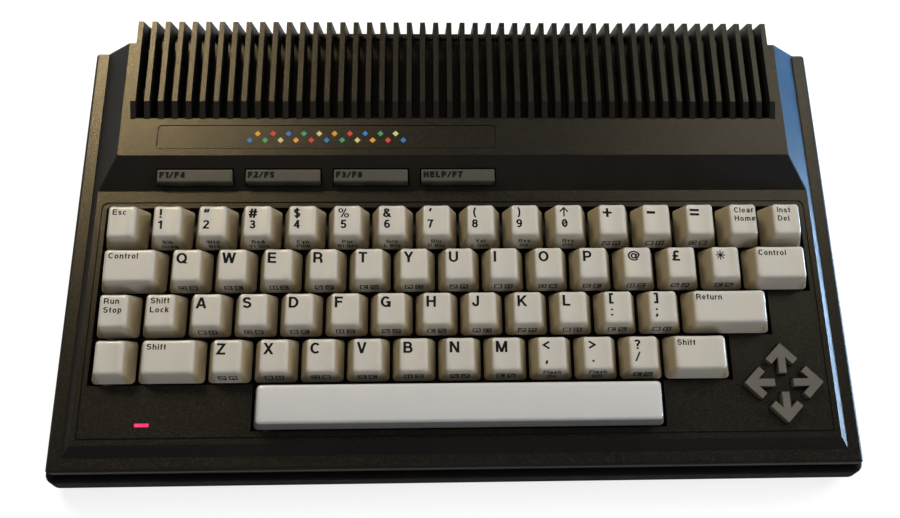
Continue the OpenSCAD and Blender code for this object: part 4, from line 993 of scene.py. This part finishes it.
SPACE_STEMS = (-3 * KEY, 0, 3 * KEY)
KEY_MATERIALS = [IVORY, BLACK_INK, GREY_INK]


def new_key():
    bm = bmesh.new()
    # the flank layer holds how much painted flank shade each vertex takes
    return bm, bm.verts.layers.float.new("flank")


def special_key(node):
    bm, layer = new_key()
    first, units, row = SPECIAL[node]
    cap = build_cap(bm, layer, units, row)
    left = 0.7 if node in ("key_return", "key_control_right", "key_shift_right") else 1.5
    for line, word in enumerate(WORDS[node]):
        legend_on_top(bm, cap, letters(word, WORD, 0.17, 0.16), left, 1.4 + WORD + 3.8 * line)
    place_key(bm, 0, first, units, row)
    link("cap_" + node[4:], mesh_of(bm, node, KEY_MATERIALS), node, "key_ivory", node)


def column_keys(i):
    node = "key_column_%d" % (i + 1)
    bm, layer = new_key()
    for row in rows_of(i):
        before = len(bm.verts)
        cap = build_cap(bm, layer, 1, row)
        draw_legend(bm, cap, row, i)
        place_key(bm, before, ROW_FIRST[row] + i, 1, row)
    link("caps_column_%d" % (i + 1), mesh_of(bm, node, KEY_MATERIALS), node, "key_ivory", node)


for name in SPECIAL:
    special_key(name)
for i in range(COLUMNS):
    column_keys(i)
bm, layer = new_key()
build_cap(bm, layer, SPACE_UNITS, 4, SPACE_STEMS)
place_key(bm, 0, SPACE_FIRST, SPACE_UNITS, 4)
link("cap_space_bar", mesh_of(bm, "space_bar", [PALE]), "space_bar", "key_ivory", "space_bar")


# ---------------- return springs
COIL_R = 3.8
WIRE = 0.3
CAP_CEILING = 3.0


def coil(bm, x, s, n0, n1, turns):
    """A compression spring round a stem, its end turns close together."""
    steps, sides = 16 * turns, 5
    end = 0.65 / (2 * math.pi)
    rings = []
    for k in range(steps + 1):
        t = k / steps
        a = 2 * math.pi * turns * t
        n = n0 + WIRE / 2 + (n1 - n0 - WIRE) * (t - end * math.sin(2 * math.pi * t))
        ring = []
        for j in range(sides):
            b = 2 * math.pi * j / sides
            r = COIL_R + WIRE / 2 * math.cos(b)
            ring.append(bm.verts.new(LEDGE @ Vector((x + r * math.cos(a), s + r * math.sin(a),
                                                     n + WIRE / 2 * math.sin(b)))))
        rings.append(ring)
    for low, high in zip(rings, rings[1:]):
        for j in range(sides):
            k = (j + 1) % sides
            bm.faces.new((low[j], low[k], high[k], high[j])).smooth = True
    bm.faces.new(rings[0][::-1])
    bm.faces.new(rings[-1])


def springs(body, places, n0=GUIDE_TOP, turns=6):
    """The springs under one key body: (x, s, top) each."""
    bm = bmesh.new()
    for x, s, n1 in places:
        coil(bm, x, s, n0, n1, turns)
    piece = link("springs_" + body, mesh_of(bm, "springs_" + body, [SPRING]), "case",
                 "spring_steel", "return_springs")
    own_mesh(piece)


def spring_place(units, row, x=0):
    """Foot and top of the spring of a key whose middle is at units."""
    return key_x(units) + x, row_s(row), CAP_N + KEY_H + ROW_RISE * (4 - row) - CAP_CEILING


for node, (first, units, row) in SPECIAL.items():
    springs(node, [spring_place(first + units / 2, row)])
for i in range(COLUMNS):
    springs("key_column_%d" % (i + 1),
            [spring_place(ROW_FIRST[row] + i + 0.5, row) for row in rows_of(i)])
springs("space_bar", [spring_place(SPACE_FIRST + SPACE_UNITS / 2, 4, x) for x in SPACE_STEMS])


# ---------------- bevelled CAD nodes
def soften(node, width):
    """Small rounded edges on a CAD node, as modifiers only."""
    ob = NODES[node]
    weld = ob.modifiers.new("weld", "WELD")
    weld.merge_threshold = 0.000002
    flat = ob.modifiers.new("planar", "DECIMATE")
    flat.decimate_type = "DISSOLVE"
    flat.angle_limit = math.radians(0.4)
    edge = ob.modifiers.new("edge", "BEVEL")
    edge.width = width * MM
    edge.segments = 2
    edge.limit_method = "ANGLE"
    edge.angle_limit = math.radians(28)
    normal = ob.modifiers.new("normals", "WEIGHTED_NORMAL")
    normal.keep_sharp = False
    normal.weight = 80


for node, ob in NODES.items():
    if not ob.hide_render:
        ob.data.materials.clear()
        ob.data.materials.append(FINISH.get(node, GREY))
for i in range(1, 5):
    soften("function_key_%d" % i, 0.35)
for turn in ("up", "down", "left", "right"):
    soften("cursor_" + turn, 0.25)


# ---------------- the function keys
FKEY_X0 = -HALF_W + 52.1
FKEY_PITCH = 38.6
FKEY_S = SLOPE_S + 5.4
FKEY_N = PANEL_N + 5.4
FKEY_FOOT, FKEY_CEILING = -3.5, -0.25


def function_legend(i, word):
    """The legend on the sloping top of one function key."""
    def place(x, y):
        s = -1.0 + y
        n = FKEY_N - 0.5 + 0.5 * (s + 2.5) / 5.0
        return LEDGE @ Vector((FKEY_X0 + i * FKEY_PITCH - 15.3 + x, FKEY_S + s, n + 0.1))

    bm = bmesh.new()
    lay(bm, letters(word, 2.8, 0.27, 0.17, 1.2), place, 0, 100)
    name = "legend_f%d" % (i + 1)
    link(name, mesh_of(bm, name, [BLACK_INK]), "function_key_%d" % (i + 1), "key_grey")


for i, word in enumerate(("F1/F4", "F2/F5", "F3/F6", "HELP/F7")):
    function_legend(i, word)
for i in range(4):
    springs("function_key_%d" % (i + 1),
            [(FKEY_X0 + i * FKEY_PITCH + x, FKEY_S, FKEY_CEILING) for x in (-12, 12)],
            FKEY_FOOT, 3)


# ---------------- badge: a plain band of diamonds
BADGE_COLOURS = [
    ink("badge_blue", (0.03, 0.13, 0.36), (0.04, 0.16, 0.42)),
    ink("badge_amber", (0.55, 0.25, 0.03), (0.62, 0.3, 0.04)),
    ink("badge_green", (0.05, 0.24, 0.10), (0.06, 0.28, 0.12)),
    ink("badge_red", (0.45, 0.04, 0.03), (0.52, 0.06, 0.04)),
    ink("badge_straw", (0.5, 0.45, 0.16), (0.56, 0.5, 0.2)),
]
BADGE_N = DECK_N - 0.2
DIAMOND = 1.5
bm = bmesh.new()
for k in range(21):
    x = -92.0 + 3.4 * k
    s = DECK_S + 8.9 + (1.6 if k % 2 else -1.6)
    # a foot just inside the plate and a smaller face just above it
    a, b = [[bm.verts.new(LEDGE @ Vector((x + r * dx, s + r * ds, n)))
             for dx, ds in ((0, -1), (1, 0), (0, 1), (-1, 0))]
            for r, n in ((DIAMOND, BADGE_N - 0.05), (DIAMOND * 0.8, BADGE_N + 0.12))]
    faces = [bm.faces.new(b)]
    faces += [bm.faces.new((a[j], a[(j + 1) % 4], b[(j + 1) % 4], b[j])) for j in range(4)]
    for f in faces:
        f.material_index = k % len(BADGE_COLOURS)
link("badge_diamonds", mesh_of(bm, "badge_diamonds", BADGE_COLOURS), "case", "badge")


# ---------------- floor and light
def stage_floor():
    mat = bpy.data.materials.new("floor")
    mat.use_nodes = True
    tree = mat.node_tree
    tree.nodes.clear()
    out = tree.nodes.new("ShaderNodeOutputMaterial")
    diffuse = tree.nodes.new("ShaderNodeBsdfDiffuse")
    diffuse.inputs["Color"].default_value = (0.32, 0.32, 0.32, 1)
    glow = tree.nodes.new("ShaderNodeEmission")
    glow.inputs["Color"].default_value = (1, 1, 1, 1)
    both = tree.nodes.new("ShaderNodeAddShader")
    path = tree.nodes.new("ShaderNodeLightPath")
    seen = maths(tree, "MAXIMUM", path.outputs["Is Camera Ray"],
                 maths(tree, "MAXIMUM", path.outputs["Is Glossy Ray"],
                       path.outputs["Is Transmission Ray"]))
    tree.links.new(maths(tree, "MULTIPLY", seen, 0.78), glow.inputs["Strength"])
    tree.links.new(diffuse.outputs[0], both.inputs[0])
    tree.links.new(glow.outputs[0], both.inputs[1])
    tree.links.new(both.outputs[0], out.inputs["Surface"])
    bm = bmesh.new()
    bmesh.ops.create_grid(bm, x_segments=8, y_segments=8, size=6)
    mesh = mesh_of(bm, "floor", [mat])
    ob = bpy.data.objects.new("floor", mesh)
    bpy.context.scene.collection.objects.link(ob)


def area_light(name, place, aim, size, watts, colour, lights="all"):
    """A rectangular lamp, unseen itself, for all light or for "diffuse" or "glossy" alone."""
    data = bpy.data.lights.new(name, "AREA")
    data.shape = "RECTANGLE"
    data.size, data.size_y = size
    data.energy = watts
    data.color = colour
    ob = bpy.data.objects.new(name, data)
    bpy.context.scene.collection.objects.link(ob)
    ob.location = place
    ob.rotation_euler = (Vector(aim) - Vector(place)).to_track_quat("-Z", "Y").to_euler()
    ob.visible_camera = False
    ob.visible_diffuse = lights != "glossy"
    ob.visible_glossy = lights != "diffuse"


stage_floor()
world = bpy.data.worlds.new("studio")
world.use_nodes = True
bpy.context.scene.world = world
wt = world.node_tree
background = next(n for n in wt.nodes if n.type == "BACKGROUND")
background.inputs["Color"].default_value = (0.20, 0.20, 0.205, 1)
background.inputs["Strength"].default_value = 1.0

MIDDLE = (0, 0, 0)
for name, place, aim, size, watts, colour, lights in (
        ("key_left", (-0.75, 0.85, 1.15), MIDDLE, (0.5, 0.5), 13.5, (1.0, 0.95, 0.86), "all"),
        ("key_right", (0.85, 0.75, 1.0), MIDDLE, (0.4, 0.4), 5.5, (0.94, 0.97, 1.0), "all"),
        ("top", (0.0, 0.35, 1.5), MIDDLE, (1.2, 1.2), 6.2, (1.0, 0.98, 0.95), "diffuse"),
        ("front", (0.45, -1.2, 0.55), MIDDLE, (0.6, 0.6), 6.2, (0.90, 0.92, 1.0), "diffuse"),
        ("window", (1.26, 0.37, 0.70), MIDDLE, (0.5, 0.5), 13, (0.84, 0.88, 1.0), "diffuse"),
        ("sheen_left", (-0.66, 0.67, 1.30), MIDDLE, (0.3, 0.3), 27, (1.0, 0.78, 0.42), "glossy"),
        ("sheen_right", (0.64, 0.48, 1.38), MIDDLE, (0.3, 0.3), 4.2, (1.0, 0.92, 0.70), "glossy"),
        # two low lamps give the right flank and bevel their blue edge
        ("side_window", (0.40, 0.13, 0.018), (0.16, 0.02, 0.03), (0.30, 0.03), 0.9,
         (0.06, 0.40, 1.0), "glossy"),
        ("side_front", (0.38, -0.03, 0.012), (0.16, -0.06, 0.02), (0.22, 0.02), 3.2,
         (0.46, 0.69, 1.0), "glossy")):
    area_light(name, place, aim, size, watts, colour, lights)

bpy.context.scene.view_settings.view_transform = "Standard"
